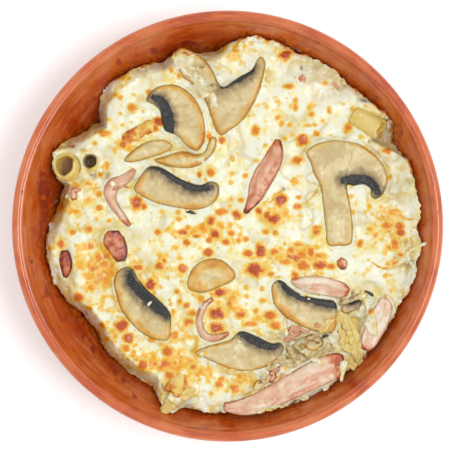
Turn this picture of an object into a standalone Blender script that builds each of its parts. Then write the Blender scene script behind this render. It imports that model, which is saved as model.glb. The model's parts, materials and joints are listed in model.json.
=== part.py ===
"""Baked pasta with mushrooms and ham in the round terracotta dish that it was baked in.

The dish stands on z = 0 with its axis on the z axis. Lengths below are in millimetres, and
MM turns them into metres where a mesh is made. Seen from above, +Y is the far side.

The food is built up in the dish: the pasta heap with the tubes that break through, the melted
cheese that drapes over it, and on the cheese the mushroom slices and the pieces of ham. The
cheese has a shallow seat under each topping, so nothing crosses and nothing hangs in the air.
"""

import math

import bmesh
import bpy
import numpy as np
from mathutils import Vector

MM = 0.001
GAP = 0.35

# Dish
RIM_RADIUS = 100.0
RIM_HEIGHT = 52.0
LIP_INNER_RADIUS = 94.6
LIP_DROP = 2.4
FLOOR_RADIUS = 62.0
FLOOR_LEVEL = 8.0
WALL_POWER = 0.60
FOOT_RADIUS = 68.0
SHOULDER_HEIGHT = 47.0
SHOULDER_RADIUS = 99.0
OUTSIDE_POWER = 0.50
DISH_STEPS = 56

# Baked top: a low dome that climbs or sinks to the wall over the last few millimetres
CROWN_LEVEL = 41.0
EDGE_LEVEL = 40.0
DOME_RADIUS = 90.0
ROUND_OFF = 7.0
WALL_CLEARANCE = 0.9
CHEESE_DEPTH = 6.2
CHEESE_SKIRT = 8.0
SKIRT_WIDTH = 1.2
LIP_INSET = 5.0
HEAP_CLEARANCE = 0.9
HEAP_INSET = 2.6
HEAP_GAP = 1.0
HEAP_DROP = 2.5
HEAP_SHARES = (1.0, 0.6, 0.3, 0.1)
TOP_RINGS = 18
UNDER_RINGS = 10

# Where the food ends, as (degrees from +X, radius), and the most that the wall leaves
FOOD_REACH = 89.6
FOOD_OUTLINE = [
    (4, 91.8), (9, 92.2), (18, 91.0), (23, 90.0), (27, 87.8), (32, 92.2), (39, 90.4), (49, 88.2),
    (58, 89.4), (68, 88.5), (76, 90.0), (83, 90.4), (88, 87.8), (94, 83.6), (102, 83.4), (107, 85.6),
    (112, 84.4), (122, 87.4), (129, 87.4), (135, 85.0), (141, 78.8), (148, 83.0), (157, 90.0),
    (162, 87.4), (166, 80.6), (172, 81.0), (183, 85.8), (191, 87.2), (198, 86.4), (206, 84.4),
    (211, 80.4), (219, 80.2), (226, 82.8), (237, 83.6), (245, 83.4), (250, 91.0), (254, 91.4),
    (257, 88.2), (263, 89.0), (268, 88.2), (279, 89.0), (287, 89.0), (294, 88.8), (302, 88.8),
    (307, 88.8), (315, 88.6), (323, 88.8), (335, 89.4), (346, 91.8), (355, 92.0), (359, 89.4),
]

# Swells and hollows of the top, as (x, y, half length, half width, turn in degrees, height)
MOUNDS = [
    (-29, 70, 15, 9, 10, 1.3), (-45, 56, 14, 12, 60, 1.4), (-2, 78, 13, 7, 0, 1.1),
    (33, 70, 15, 9, -25, 1.0), (50, 53, 14, 10, -30, 1.0), (8, 32, 16, 10, 20, 0.8),
    (-2, 6, 18, 9, 0, 0.7), (-66, 0, 9, 11, 0, 1.4), (-64, -30, 10, 12, 30, 1.0),
    (-44, -62, 15, 9, -25, 0.9), (-18, -74, 10, 8, 20, 1.0), (-8, -80, 7, 7, 0, 1.1),
    (77, -4, 8, 12, 0, 1.6), (75, 22, 8, 9, 0, -1.0), (38, -11, 16, 6, 0, 1.1),
    (66, -30, 9, 7, 0, -0.9), (33, -56, 10, 7, 30, -1.5), (-77, -19, 4, 11, 5, -2.2),
    (-70, -20, 3, 10, 15, 1.2), (-83, -18, 3, 10, -12, 1.0), (60, 42, 9, 7, 20, -0.8),
    (-39, 43, 9, 4, 30, 1.0), (14, -20, 12, 8, 0, 0.5), (-38, -12, 10, 8, 0, 0.6),
]
WAVE_HEIGHT = 0.35
WAVE_LENGTHS = (31.0, 23.0, 17.0)

# Tubes that break through, as (foot, open end, outer radius, bore radius); a bore of 0 is a
# tube whose ends stay hidden
TUBES = {
    "end_left": ((-70.4, 24.4, 30.0), (-76.0, 28.4, 42.4), 6.7, 4.8),
    "end_left_inner": ((-61.5, 28.2, 29.0), (-64.6, 30.6, 41.4), 5.8, 3.8),
    "end_far_right": ((59.6, 52.0, 37.6), (71.2, 45.0, 40.9), 5.5, 3.9),
    "end_near_left": ((-20.4, -71.4, 36.6), (-26.0, -79.5, 40.2), 5.7, 4.1),
    "back_right": ((56.2, -43.6, 36.4), (57.6, -57.0, 35.8), 5.6, 0.0),
    "back_near": ((28.2, -64.4, 36.2), (33.4, -58.8, 36.6), 4.6, 0.0),
    "back_far_left": ((-48.6, 39.4, 38.0), (-34.6, 47.6, 38.8), 4.2, 0.0),
}
TUBE_SIDES = 18

# Mushroom slices: outline seen from above, thickness, how deep the slice is sunk, and its tilt
# as the rise per millimetre along x and y
MUSHROOMS = {
    "mushroom_1": ([
        (-37.7, 58.6), (-35.4, 62.7), (-32.2, 64.8), (-27.7, 65.7), (-22.4, 64.8), (-17.1, 61.2),
        (-13.4, 55.9), (-11.4, 50.0), (-10.6, 43.5), (-11.4, 38.8), (-13.8, 35.6), (-16.8, 36.0),
        (-19.9, 38.6), (-22.4, 41.7), (-26.1, 43.4), (-28.9, 44.6), (-30.3, 48.3), (-31.0, 53.0),
        (-33.5, 56.3)], 4.6, 1.6, (0.02, -0.05)),
    "mushroom_2": ([
        (-21.2, 83.2), (-24.0, 81.6), (-25.6, 78.3), (-23.4, 73.6), (-20.2, 69.2), (-16.4, 66.2),
        (-12.2, 61.6), (-9.4, 56.5), (-7.3, 50.5), (-5.4, 45.1), (-3.0, 42.6), (0.7, 44.7),
        (5.8, 48.6), (10.4, 54.6), (14.1, 62.0), (16.4, 69.5), (17.4, 75.6), (15.8, 78.8),
        (13.8, 77.2), (11.3, 72.7), (5.8, 69.5), (-1.6, 64.8), (-4.9, 67.3), (-6.5, 71.3),
        (-10.0, 76.6), (-15.0, 80.6)], 4.8, 2.4, (0.03, -0.02)),
    "mushroom_3": ([
        (-48.0, 30.8), (-44.3, 35.0), (-37.8, 39.0), (-31.3, 40.2), (-27.3, 38.9), (-25.9, 36.9),
        (-30.1, 34.0), (-37.2, 31.6), (-44.3, 29.9)], 4.0, 1.2, (0.05, 0.02)),
    "mushroom_4": ([
        (-34.0, 30.8), (-30.3, 32.0), (-24.3, 34.0), (-19.4, 34.6), (-14.6, 33.2), (-10.6, 34.8),
        (-8.9, 38.6), (-7.6, 41.4), (-5.4, 40.8), (-5.6, 37.2), (-8.3, 32.5), (-13.0, 28.8),
        (-18.3, 27.2), (-24.8, 27.6), (-31.0, 29.0)], 3.8, 2.2, (0.0, 0.04)),
    "mushroom_5": ([
        (-43.4, 17.4), (-40.1, 23.5), (-37.4, 26.9), (-35.0, 27.9), (-31.2, 27.2), (-26.6, 24.7),
        (-22.7, 22.2), (-17.1, 19.9), (-12.4, 19.0), (-8.3, 20.6), (-4.9, 19.5), (-4.1, 15.8),
        (-5.9, 11.7), (-10.6, 8.7), (-16.0, 7.8), (-22.4, 8.7), (-28.9, 9.9), (-34.8, 11.7),
        (-40.1, 14.4)], 4.6, 1.8, (-0.02, 0.04)),
    "mushroom_6": ([
        (36.9, 34.1), (38.9, 36.5), (43.6, 38.8), (49.6, 39.8), (55.4, 39.4), (62.0, 37.6),
        (67.3, 34.1), (71.4, 29.9), (74.0, 24.6), (74.4, 19.9), (72.0, 14.8), (69.2, 12.9),
        (66.9, 14.2), (66.8, 17.4), (63.2, 19.7), (59.0, 19.0), (55.6, 19.2), (56.0, 14.0),
        (57.2, 8.1), (58.1, -1.8), (57.4, -8.0), (52.1, -8.9), (46.9, -8.5), (46.0, -1.8),
        (45.4, 3.7), (44.6, 11.1), (43.5, 18.6), (40.4, 24.6), (38.9, 29.9)], 4.6, 1.8, (0.01, 0.02)),
    "mushroom_7": ([
        (-46.5, -19.1), (-50.0, -20.3), (-52.1, -22.8), (-52.7, -26.8), (-51.9, -31.3),
        (-49.6, -38.4), (-46.0, -43.7), (-40.7, -49.0), (-34.8, -52.3), (-29.1, -53.2),
        (-27.0, -51.1), (-26.6, -46.1), (-27.3, -39.9), (-33.3, -33.5), (-38.2, -29.1),
        (-42.1, -24.2), (-44.0, -20.6)], 4.8, 1.8, (0.04, 0.03)),
    "mushroom_8": ([
        (-18.3, -28.6), (-17.7, -23.0), (-14.2, -17.9), (-8.8, -15.5), (-3.0, -16.0),
        (1.7, -19.6), (3.6, -23.2), (0.6, -26.4), (-5.3, -28.7), (-10.0, -30.6),
        (-14.8, -30.5)], 3.8, 1.8, (0.0, 0.03)),
    "mushroom_9": ([
        (20.7, -30.1), (21.3, -26.9), (23.8, -25.2), (26.4, -26.3), (28.9, -28.6), (33.0, -31.5),
        (38.9, -33.3), (44.8, -34.2), (49.6, -35.1), (50.9, -38.4), (50.9, -43.1), (50.2, -47.0),
        (47.7, -49.6), (42.5, -49.1), (35.4, -46.8), (28.9, -43.5), (24.8, -40.0),
        (21.8, -35.8)], 4.8, 1.6, (0.02, 0.05)),
    "mushroom_10": ([
        (-14.9, -59.2), (-10.0, -56.3), (-4.1, -54.8), (1.2, -53.3), (4.1, -50.6), (6.4, -49.1),
        (10.0, -49.9), (15.3, -52.4), (20.4, -54.7), (24.1, -54.4), (26.1, -56.4), (25.2, -59.4),
        (22.7, -62.0), (18.7, -64.8), (13.0, -66.8), (7.1, -67.4), (1.2, -66.4), (-4.1, -64.2),
        (-10.0, -61.5)], 4.4, 1.6, (0.0, 0.05)),
    "mushroom_11": ([
        (53.2, -37.5), (56.6, -36.1), (61.2, -34.4), (62.5, -35.8), (61.1, -38.4), (58.1, -39.8),
        (54.8, -40.8), (53.2, -39.8)], 3.2, 1.2, (0.0, 0.0)),
    "mushroom_12": ([
        (36.3, -52.0), (38.6, -50.9), (42.3, -51.6), (44.4, -53.2), (43.5, -56.0), (40.5, -58.0),
        (37.4, -57.6), (35.9, -55.0)], 5.0, 1.0, (0.0, 0.0)),
    "mushroom_13": ([
        (11.9, -76.2), (12.7, -73.1), (15.0, -71.6), (17.0, -72.8), (16.7, -75.1),
        (14.0, -77.0)], 3.6, 1.2, (0.0, 0.0)),
}
SLICE_BEVEL = 0.9

# Ham: stations down the middle of each strip as (x, y, half width), thickness, sink and tilt
HAMS = {
    "ham_1": ([
        (23.4, 40.3, 1.2), (22.7, 35.2, 3.2), (20.6, 29.7, 4.3), (17.1, 23.6, 4.7), (14.3, 18.1, 4.2),
        (12.7, 13.5, 3.2), (10.2, 9.3, 1.8), (8.3, 6.1, 0.9)], 3.6, 1.4, (0.0, 0.03)),
    "ham_2": ([
        (-43.4, 26.4, 0.8), (-46.2, 23.2, 2.0), (-49.8, 20.8, 2.6), (-53.2, 19.2, 3.0),
        (-54.8, 15.4, 2.8), (-53.4, 10.6, 2.1), (-50.6, 6.5, 1.7), (-47.9, 2.8, 1.5),
        (-45.5, 0.2, 0.8)], 2.8, 1.0, (0.0, 0.03)),
    "ham_3": ([
        (-53.4, -2.2, 2.6), (-53.0, -6.4, 4.8), (-51.1, -10.1, 4.2), (-50.1, -13.6, 3.4),
        (-49.6, -16.4, 1.8)], 3.4, 1.4, (0.0, 0.0)),
    "ham_4": ([
        (-76.1, -11.4, 1.6), (-75.6, -15.0, 2.8), (-75.2, -19.4, 2.6), (-75.8, -24.0, 0.9)],
        3.2, 1.2, (0.0, -0.02)),
    "ham_5": ([
        (-6.9, -33.9, 0.9), (-10.4, -36.5, 1.3), (-12.5, -40.7, 1.4), (-13.2, -45.3, 1.5),
        (-11.6, -49.9, 1.7), (-8.1, -52.1, 1.6), (-3.6, -51.6, 1.4), (0.4, -49.8, 0.8)],
        2.8, 0.8, (0.0, 0.0)),
    "ham_6": ([
        (29.8, -25.4, 0.8), (33.4, -26.4, 2.6), (38.9, -27.2, 4.0), (44.6, -28.0, 4.2),
        (50.2, -29.2, 3.9), (54.2, -30.2, 3.2), (56.4, -31.0, 1.6)], 2.8, 1.4, (0.02, 0.03)),
    "ham_7": ([
        (-1.6, -84.2, 1.8), (5.8, -84.4, 3.6), (13.2, -82.8, 4.6), (20.6, -79.4, 5.0), (28.9, -75.2, 5.6),
        (37.2, -71.0, 6.0), (45.1, -67.0, 6.2), (51.1, -64.8, 5.8), (54.4, -64.2, 4.0)],
        4.2, 0.2, (0.01, -0.05)),
    "ham_8": ([
        (73.3, -33.7, 2.4), (72.6, -38.8, 4.0), (70.0, -44.2, 5.0), (67.8, -49.4, 4.5),
        (65.6, -54.4, 3.6), (64.2, -57.8, 1.8)], 3.8, -0.4, (0.02, -0.02)),
    "ham_9": ([
        (51.9, -15.6, 1.4), (53.5, -17.6, 2.4), (53.9, -20.2, 1.0)], 2.6, 1.0, (0.0, 0.0)),
    "ham_10": ([
        (28.5, -48.3, 1.4), (31.3, -49.4, 2.2), (33.8, -50.2, 1.0)], 2.8, 1.0, (0.0, 0.0)),
    "ham_11": ([
        (21.2, -67.4, 1.4), (20.8, -70.3, 1.7), (20.2, -73.0, 0.8)], 2.8, 1.0, (0.0, 0.0)),
    "ham_12": ([
        (-72.1, 17.6, 0.9), (-71.8, 14.8, 1.7), (-71.5, 12.0, 1.0)], 2.6, 1.0, (0.0, 0.0)),
}
STRIP_STEPS = 2

# How far a seat reaches past its topping, and how far it takes to meet the top again
SEAT_MARGIN = 4.8
SEAT_BLEND = 5.0


def clear_scene():
    for obj in list(bpy.data.objects):
        bpy.data.objects.remove(obj, do_unlink=True)


def material(name, colour, roughness):
    """A plain Principled BSDF material."""
    mat = bpy.data.materials.new(name)
    mat.use_nodes = True
    shader = mat.node_tree.nodes["Principled BSDF"]
    shader.inputs["Base Color"].default_value = (*colour, 1.0)
    shader.inputs["Roughness"].default_value = roughness
    shader.inputs["Metallic"].default_value = 0.0
    return mat


def add_object(name, bm, mat, sharp_degrees=50.0):
    """An object of the mesh, which is given in millimetres."""
    bmesh.ops.recalc_face_normals(bm, faces=bm.faces)
    bmesh.ops.scale(bm, vec=(MM, MM, MM), verts=bm.verts)
    mesh = bpy.data.meshes.new(name)
    bm.to_mesh(mesh)
    bm.free()
    mesh.shade_smooth()
    mesh.set_sharp_from_angle(angle=math.radians(sharp_degrees))
    mesh.materials.append(mat)
    obj = bpy.data.objects.new(name, mesh)
    bpy.context.scene.collection.objects.link(obj)
    return obj


def wall_radius(z):
    """Inner radius of the dish at the height z."""
    rise = np.clip((z - FLOOR_LEVEL) / (RIM_HEIGHT - LIP_DROP - FLOOR_LEVEL), 0.0, 1.0)
    return FLOOR_RADIUS + (LIP_INNER_RADIUS - FLOOR_RADIUS) * rise ** WALL_POWER


def wall_height(radius):
    """Height at which the dish has that inner radius."""
    share = np.clip((radius - FLOOR_RADIUS) / (LIP_INNER_RADIUS - FLOOR_RADIUS), 0.0, 1.0)
    return FLOOR_LEVEL + (RIM_HEIGHT - LIP_DROP - FLOOR_LEVEL) * share ** (1.0 / WALL_POWER)


def outside_radius(z):
    """Outer radius of the dish at the height z, below the rim."""
    rise = z / SHOULDER_HEIGHT
    return FOOT_RADIUS + (SHOULDER_RADIUS - FOOT_RADIUS) * rise ** OUTSIDE_POWER


def food_radius(degrees):
    angles = [angle for angle, _ in FOOD_OUTLINE]
    radii = [radius for _, radius in FOOD_OUTLINE]
    return np.minimum(np.interp(degrees, angles, radii, period=360.0), FOOD_REACH)


def smooth(t):
    t = np.clip(t, 0.0, 1.0)
    return t * t * (3.0 - 2.0 * t)


def relief(x, y):
    """Height of the baked top where nothing lies on it."""
    x = np.asarray(x, dtype=float)
    y = np.asarray(y, dtype=float)
    r = np.hypot(x, y)
    z = CROWN_LEVEL - (CROWN_LEVEL - EDGE_LEVEL) * (r / DOME_RADIUS) ** 2
    for cx, cy, half_length, half_width, turn, height in MOUNDS:
        c = math.cos(math.radians(turn))
        s = math.sin(math.radians(turn))
        along = ((x - cx) * c + (y - cy) * s) / half_length
        across = ((y - cy) * c - (x - cx) * s) / half_width
        z = z + height * np.exp(-along ** 2 - across ** 2)
    for k, length in enumerate(WAVE_LENGTHS):
        turn = 1.1 + 2.1 * k
        along = x * math.cos(turn) + y * math.sin(turn)
        z = z + WAVE_HEIGHT * np.sin(2.0 * math.pi * along / length + k)
    outline = food_radius(np.degrees(np.arctan2(y, x)))
    edge = wall_height(outline + WALL_CLEARANCE)
    return edge + (z - edge) * smooth((outline - r) / ROUND_OFF)


def closed_curve(points, steps):
    """A smooth closed curve through the points, with so many steps between each two."""
    curve = []
    count = len(points)
    for i in range(count):
        p0, p1, p2, p3 = (points[(i + k - 1) % count] for k in range(4))
        for step in range(steps):
            curve.append(curve_point(p0, p1, p2, p3, step / steps))
    return curve


def open_curve(points, steps):
    """A smooth curve from the first point to the last."""
    padded = [points[0]] + list(points) + [points[-1]]
    curve = []
    for i in range(len(points) - 1):
        for step in range(steps):
            curve.append(curve_point(*padded[i:i + 4], step / steps))
    curve.append(tuple(points[-1]))
    return curve


def curve_point(p0, p1, p2, p3, t):
    """A point between p1 and p2 on the curve through all four."""
    return tuple(
        0.5 * (2 * b + (c - a) * t + (2 * a - 5 * b + 4 * c - d) * t ** 2 + (3 * b - a - 3 * c + d) * t ** 3)
        for a, b, c, d in zip(p0, p1, p2, p3)
    )


def clockwise(outline):
    """The outline, turned to run clockwise as seen from above."""
    area = sum(x1 * y2 - x2 * y1 for (x1, y1), (x2, y2) in zip(outline, outline[1:] + outline[:1]))
    return outline[::-1] if area > 0.0 else outline


def strip_frames(stations):
    """Points down a strip, each with its half width and the direction across it."""
    curve = open_curve(stations, STRIP_STEPS)
    frames = []
    for i, (x, y, half) in enumerate(curve):
        before = curve[max(i - 1, 0)]
        after = curve[min(i + 1, len(curve) - 1)]
        along = Vector((after[0] - before[0], after[1] - before[1])).normalized()
        frames.append((x, y, half, Vector((-along.y, along.x))))
    return frames


def strip_outline(stations):
    frames = strip_frames(stations)
    left = [(x + across.x * half, y + across.y * half) for x, y, half, across in frames]
    right = [(x - across.x * half, y - across.y * half) for x, y, half, across in frames]
    return left + right[::-1]


def distance_to(outline, x, y):
    """Distance outside the outline, and zero inside it."""
    x = np.asarray(x, dtype=float)
    y = np.asarray(y, dtype=float)
    nearest = np.full(x.shape, 1e9)
    inside = np.zeros(x.shape, dtype=bool)
    for (x1, y1), (x2, y2) in zip(outline, outline[1:] + outline[:1]):
        dx = x2 - x1
        dy = y2 - y1
        t = np.clip(((x - x1) * dx + (y - y1) * dy) / (dx * dx + dy * dy + 1e-12), 0.0, 1.0)
        nearest = np.minimum(nearest, np.hypot(x - x1 - t * dx, y - y1 - t * dy))
        if y1 != y2:
            crosses = (y1 > y) != (y2 > y)
            inside ^= crosses & (x < x1 + (y - y1) * dx / dy)
    return np.where(inside, 0.0, nearest)


def underside(outline, sink, tilt):
    """The plane that a topping lies on, as a function of x and y."""
    cx = float(np.mean([x for x, _ in outline]))
    cy = float(np.mean([y for _, y in outline]))
    level = float(relief(cx, cy)) - sink

    def plane(x, y):
        return level + tilt[0] * (x - cx) + tilt[1] * (y - cy)

    return plane


def topping_seats():
    """Outline and underside of every topping."""
    seats = {}
    for name, (points, _, sink, tilt) in MUSHROOMS.items():
        outline = clockwise(closed_curve(points, 2))
        seats[name] = (outline, underside(outline, sink, tilt))
    for name, (stations, _, sink, tilt) in HAMS.items():
        outline = strip_outline(stations)
        seats[name] = (outline, underside(outline, sink, tilt))
    return seats


def cheese_top(x, y, seats):
    """Height of the cheese, with the seats that the toppings lie in."""
    z = relief(x, y)
    low = np.full(np.shape(z), 1e9)
    for outline, plane in seats.values():
        away = distance_to(outline, x, y)
        seat = plane(x, y) - GAP
        weight = 1.0 - smooth((away - SEAT_MARGIN) / SEAT_BLEND)
        z = z + (seat - z) * weight
        low = np.where(away <= SEAT_MARGIN, np.minimum(low, seat), low)
    return np.maximum(np.minimum(z, low), wall_height(np.hypot(x, y) + WALL_CLEARANCE))


def disc_ring(k, rings, inset):
    """Ring k of a disc that fills the food's outline less the inset."""
    if k == 0:
        return [(0.0, 0.0)]
    count = 6 * k
    degrees = np.arange(count) * 360.0 / count
    radius = (food_radius(degrees) - inset) * k / rings
    return list(zip(radius * np.cos(np.radians(degrees)), radius * np.sin(np.radians(degrees))))


def add_ring(bm, points, heights):
    return [bm.verts.new((x, y, float(z))) for (x, y), z in zip(points, heights)]


def stitch(bm, inner, outer):
    """Triangles between two rings that go round the same way from the same angle."""
    n = len(inner)
    m = len(outer)
    i = 0
    j = 0
    while i < n or j < m:
        step_outer = j < m and (i >= n or n == 1 or (j + 1) / m <= (i + 1) / n)
        if step_outer:
            bm.faces.new((inner[i % n], outer[j % m], outer[(j + 1) % m]))
            j += 1
            if n == 1 and j == m:
                break
        else:
            bm.faces.new((inner[i % n], outer[j % m], inner[(i + 1) % n]))
            i += 1


def add_disc(bm, rings, inset, height_of, last_inset=None):
    """A disc of triangles in the food's outline, and its outermost ring, which can be drawn in."""
    previous = None
    for k in range(rings + 1):
        points = disc_ring(k, rings, inset)
        xs = np.array([p[0] for p in points])
        ys = np.array([p[1] for p in points])
        heights = height_of(xs, ys)
        if k == rings and last_inset is not None:
            points = disc_ring(k, rings, last_inset)
        ring = add_ring(bm, points, heights)
        if previous is not None:
            stitch(bm, previous, ring)
        previous = ring
    return previous


def turns(count):
    """The angles of so many even steps round a circle, in radians."""
    return [2.0 * math.pi * k / count for k in range(count)]


def below(drop):
    return lambda x, y: relief(x, y) - drop


def round_ring(bm, angle, radius, z):
    """A ring of points, each at its own angle, radius and height."""
    return add_ring(bm, list(zip(radius * np.cos(angle), radius * np.sin(angle))), z)


def edge_level(angle, inset):
    """Height of the top at the inset from its outline."""
    radius = food_radius(np.degrees(angle)) - inset
    return relief(radius * np.cos(angle), radius * np.sin(angle))


def skirt(angle):
    """Foot of the cheese's edge: its outer and its inner radius, and its height."""
    outline = food_radius(np.degrees(angle))
    z = np.minimum(edge_level(angle, 0.0), edge_level(angle, LIP_INSET)) - CHEESE_SKIRT
    outer = np.minimum(outline, wall_radius(z) - 2.0 * GAP)
    inner = np.minimum(outline - LIP_INSET, outer - SKIRT_WIDTH)
    return outer, inner, z


def build_dish(mat):
    """The turned dish: a flat foot, a curved wall and a rounded lip with a fine line inside."""
    floor = [(0.0, FLOOR_LEVEL), (FLOOR_RADIUS, FLOOR_LEVEL)]
    wall_heights = [FLOOR_LEVEL + rise for rise in (0.5, 2.0, 5.0, 11.0, 20.0, 31.0)]
    wall = [(float(wall_radius(z)), z) for z in wall_heights]
    lip = [
        (LIP_INNER_RADIUS - 0.8, RIM_HEIGHT - 4.2), (LIP_INNER_RADIUS, RIM_HEIGHT - LIP_DROP),
        (LIP_INNER_RADIUS + 0.6, RIM_HEIGHT - 1.0), (LIP_INNER_RADIUS + 2.0, RIM_HEIGHT - 0.15),
        (RIM_RADIUS - 2.6, RIM_HEIGHT), (RIM_RADIUS - 0.8, RIM_HEIGHT - 0.9),
        (RIM_RADIUS, RIM_HEIGHT - 2.6), (SHOULDER_RADIUS, SHOULDER_HEIGHT),
    ]
    outside = [(outside_radius(z), z) for z in (35.0, 22.0, 12.0, 5.0, 1.5)]
    foot = [(FOOT_RADIUS + 1.0, 0.0), (0.0, 0.0)]
    bm = bmesh.new()
    profile = [bm.verts.new((r, 0.0, z)) for r, z in floor + wall + lip + outside + foot]
    edges = [bm.edges.new(pair) for pair in zip(profile, profile[1:])]
    bmesh.ops.spin(bm, geom=profile + edges, cent=(0, 0, 0), axis=(0, 0, 1), angle=2.0 * math.pi,
                   steps=DISH_STEPS, use_merge=True)
    bmesh.ops.remove_doubles(bm, verts=bm.verts, dist=0.01)
    return add_object("dish", bm, mat, 40.0)


def build_core():
    """The heap of pasta below the cheese, down to the dish's floor."""
    bm = bmesh.new()
    neck = LIP_INSET + HEAP_INSET
    previous = add_disc(bm, UNDER_RINGS, LIP_INSET, below(CHEESE_DEPTH + HEAP_CLEARANCE), neck)
    angle = np.array(turns(len(previous)))
    _, inner, foot = skirt(angle)
    neck_radius = food_radius(np.degrees(angle)) - neck
    rings = [(np.minimum(neck_radius, inner - HEAP_GAP), foot)]
    base = FLOOR_LEVEL + GAP
    for share in HEAP_SHARES:
        z = base + share * (foot - HEAP_DROP - base)
        rings.append((wall_radius(z) - 2.0 * GAP, z))
    rings.append((np.full(angle.shape, FLOOR_RADIUS - 2.0 * GAP), np.full(angle.shape, base)))
    for radius, z in rings:
        ring = round_ring(bm, angle, radius, z)
        stitch(bm, previous, ring)
        previous = ring
    bm.faces.new(previous[::-1])
    return bm


def build_tube(foot, end, outer, bore):
    """One tube of pasta along its axis, open at both ends unless the bore is 0."""
    foot = Vector(foot)
    end = Vector(end)
    axis = (end - foot).normalized()
    side = axis.cross(Vector((0.0, 0.0, 1.0))).normalized()
    up = side.cross(axis)
    bm = bmesh.new()

    def circle(centre, radius):
        spokes = [math.cos(t) * side + math.sin(t) * up for t in turns(TUBE_SIDES)]
        return [bm.verts.new(centre + radius * spoke) for spoke in spokes]

    if bore > 0.0:
        loops = [circle(foot, outer), circle(end, outer), circle(end, bore), circle(foot, bore)]
        for a, b in zip(loops, loops[1:] + loops[:1]):
            stitch(bm, a, b)
        return bm
    swell = outer * 0.45
    loops = [
        circle(foot - axis * swell, outer * 0.6), circle(foot, outer),
        circle(end, outer), circle(end + axis * swell, outer * 0.6),
    ]
    for a, b in zip(loops, loops[1:]):
        stitch(bm, a, b)
    bm.faces.new(loops[0][::-1])
    bm.faces.new(loops[-1])
    return bm


def tube_clearance(foot, end, outer):
    """The room that a tube needs in the cheese, past its open end too."""
    foot = Vector(foot)
    end = Vector(end)
    axis = (end - foot).normalized()
    return foot - axis * 4.0, end + axis * 4.0, outer + GAP + 0.1


def apply_boolean(obj, collection, operation, solver="EXACT"):
    """One Boolean of the object with the collection's objects, which are then removed."""
    modifier = obj.modifiers.new("join", "BOOLEAN")
    modifier.operand_type = "COLLECTION"
    modifier.collection = collection
    modifier.operation = operation
    modifier.solver = solver
    evaluated = obj.evaluated_get(bpy.context.evaluated_depsgraph_get())
    mesh = bpy.data.meshes.new_from_object(evaluated)
    obj.modifiers.remove(modifier)
    obj.data = mesh
    for member in list(collection.objects):
        bpy.data.objects.remove(member, do_unlink=True)
    bpy.data.collections.remove(collection)


def keep_largest(obj):
    """Drops the loose scraps that a cut leaves."""
    bm = bmesh.new()
    bm.from_mesh(obj.data)
    bmesh.ops.remove_doubles(bm, verts=bm.verts, dist=2e-6)
    bmesh.ops.dissolve_degenerate(bm, dist=1e-6, edges=bm.edges)
    bodies = []
    seen = set()
    for face in bm.faces:
        if face in seen:
            continue
        body = []
        front = [face]
        seen.add(face)
        while front:
            current = front.pop()
            body.append(current)
            for edge in current.edges:
                for other in edge.link_faces:
                    if other not in seen:
                        seen.add(other)
                        front.append(other)
        bodies.append(body)
    bodies.sort(key=len)
    scraps = [face for body in bodies[:-1] for face in body]
    bmesh.ops.delete(bm, geom=scraps, context="FACES")
    bm.to_mesh(obj.data)
    bm.free()
    obj.data.shade_smooth()
    obj.data.set_sharp_from_angle(angle=math.radians(50.0))


def collect(name, meshes, mat):
    """A collection with one object for each mesh."""
    collection = bpy.data.collections.new(name)
    for k, bm in enumerate(meshes):
        obj = add_object(f"{name}_{k}", bm, mat)
        bpy.context.scene.collection.objects.unlink(obj)
        collection.objects.link(obj)
    bpy.context.scene.collection.children.link(collection)
    return collection


def build_pasta(mat):
    """The heap with the tubes that show joined to it."""
    pasta = add_object("pasta", build_core(), mat)
    tubes = collect("tubes", [build_tube(*tube) for tube in TUBES.values()], mat)
    apply_boolean(pasta, tubes, "UNION")
    keep_largest(pasta)
    return pasta


def build_cheese(mat, seats):
    """The melted cheese over the heap, cut clear where tubes break through."""
    bm = bmesh.new()
    top = add_disc(bm, TOP_RINGS, 0.0, lambda x, y: cheese_top(x, y, seats))
    under = add_disc(bm, UNDER_RINGS, LIP_INSET, below(CHEESE_DEPTH))
    angle = np.array(turns(len(under)))
    outer_radius, inner_radius, foot = skirt(angle)
    outer = round_ring(bm, angle, outer_radius, foot)
    inner = round_ring(bm, angle, inner_radius, foot)
    stitch(bm, top, outer)
    stitch(bm, outer, inner)
    stitch(bm, inner, under)
    cheese = add_object("cheese", bm, mat)
    cutters = []
    for foot, end, radius, _ in TUBES.values():
        low, high, room = tube_clearance(foot, end, radius)
        cutters.append(build_tube(low, high, room, 0.0))
    apply_boolean(cheese, collect("tube_room", cutters, mat), "DIFFERENCE")
    keep_largest(cheese)
    return cheese


def build_slice(name, seat, thickness, mat):
    """A slice of mushroom: a slab on its seat with a rounded upper edge."""
    outline, plane = seat
    bm = bmesh.new()
    bottom = [bm.verts.new((x, y, plane(x, y))) for x, y in outline]
    edge = [bm.verts.new((x, y, plane(x, y) + thickness - SLICE_BEVEL)) for x, y in outline]
    inner = []
    count = len(outline)
    for i, (x, y) in enumerate(outline):
        before = outline[i - 1]
        after = outline[(i + 1) % count]
        along = Vector((after[0] - before[0], after[1] - before[1])).normalized()
        px = x + along.y * SLICE_BEVEL
        py = y - along.x * SLICE_BEVEL
        inner.append(bm.verts.new((px, py, plane(px, py) + thickness)))
    stitch(bm, bottom, edge)
    stitch(bm, edge, inner)
    bm.faces.new(inner)
    bm.faces.new(bottom[::-1])
    return add_object(name, bm, mat, 35.0)


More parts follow.
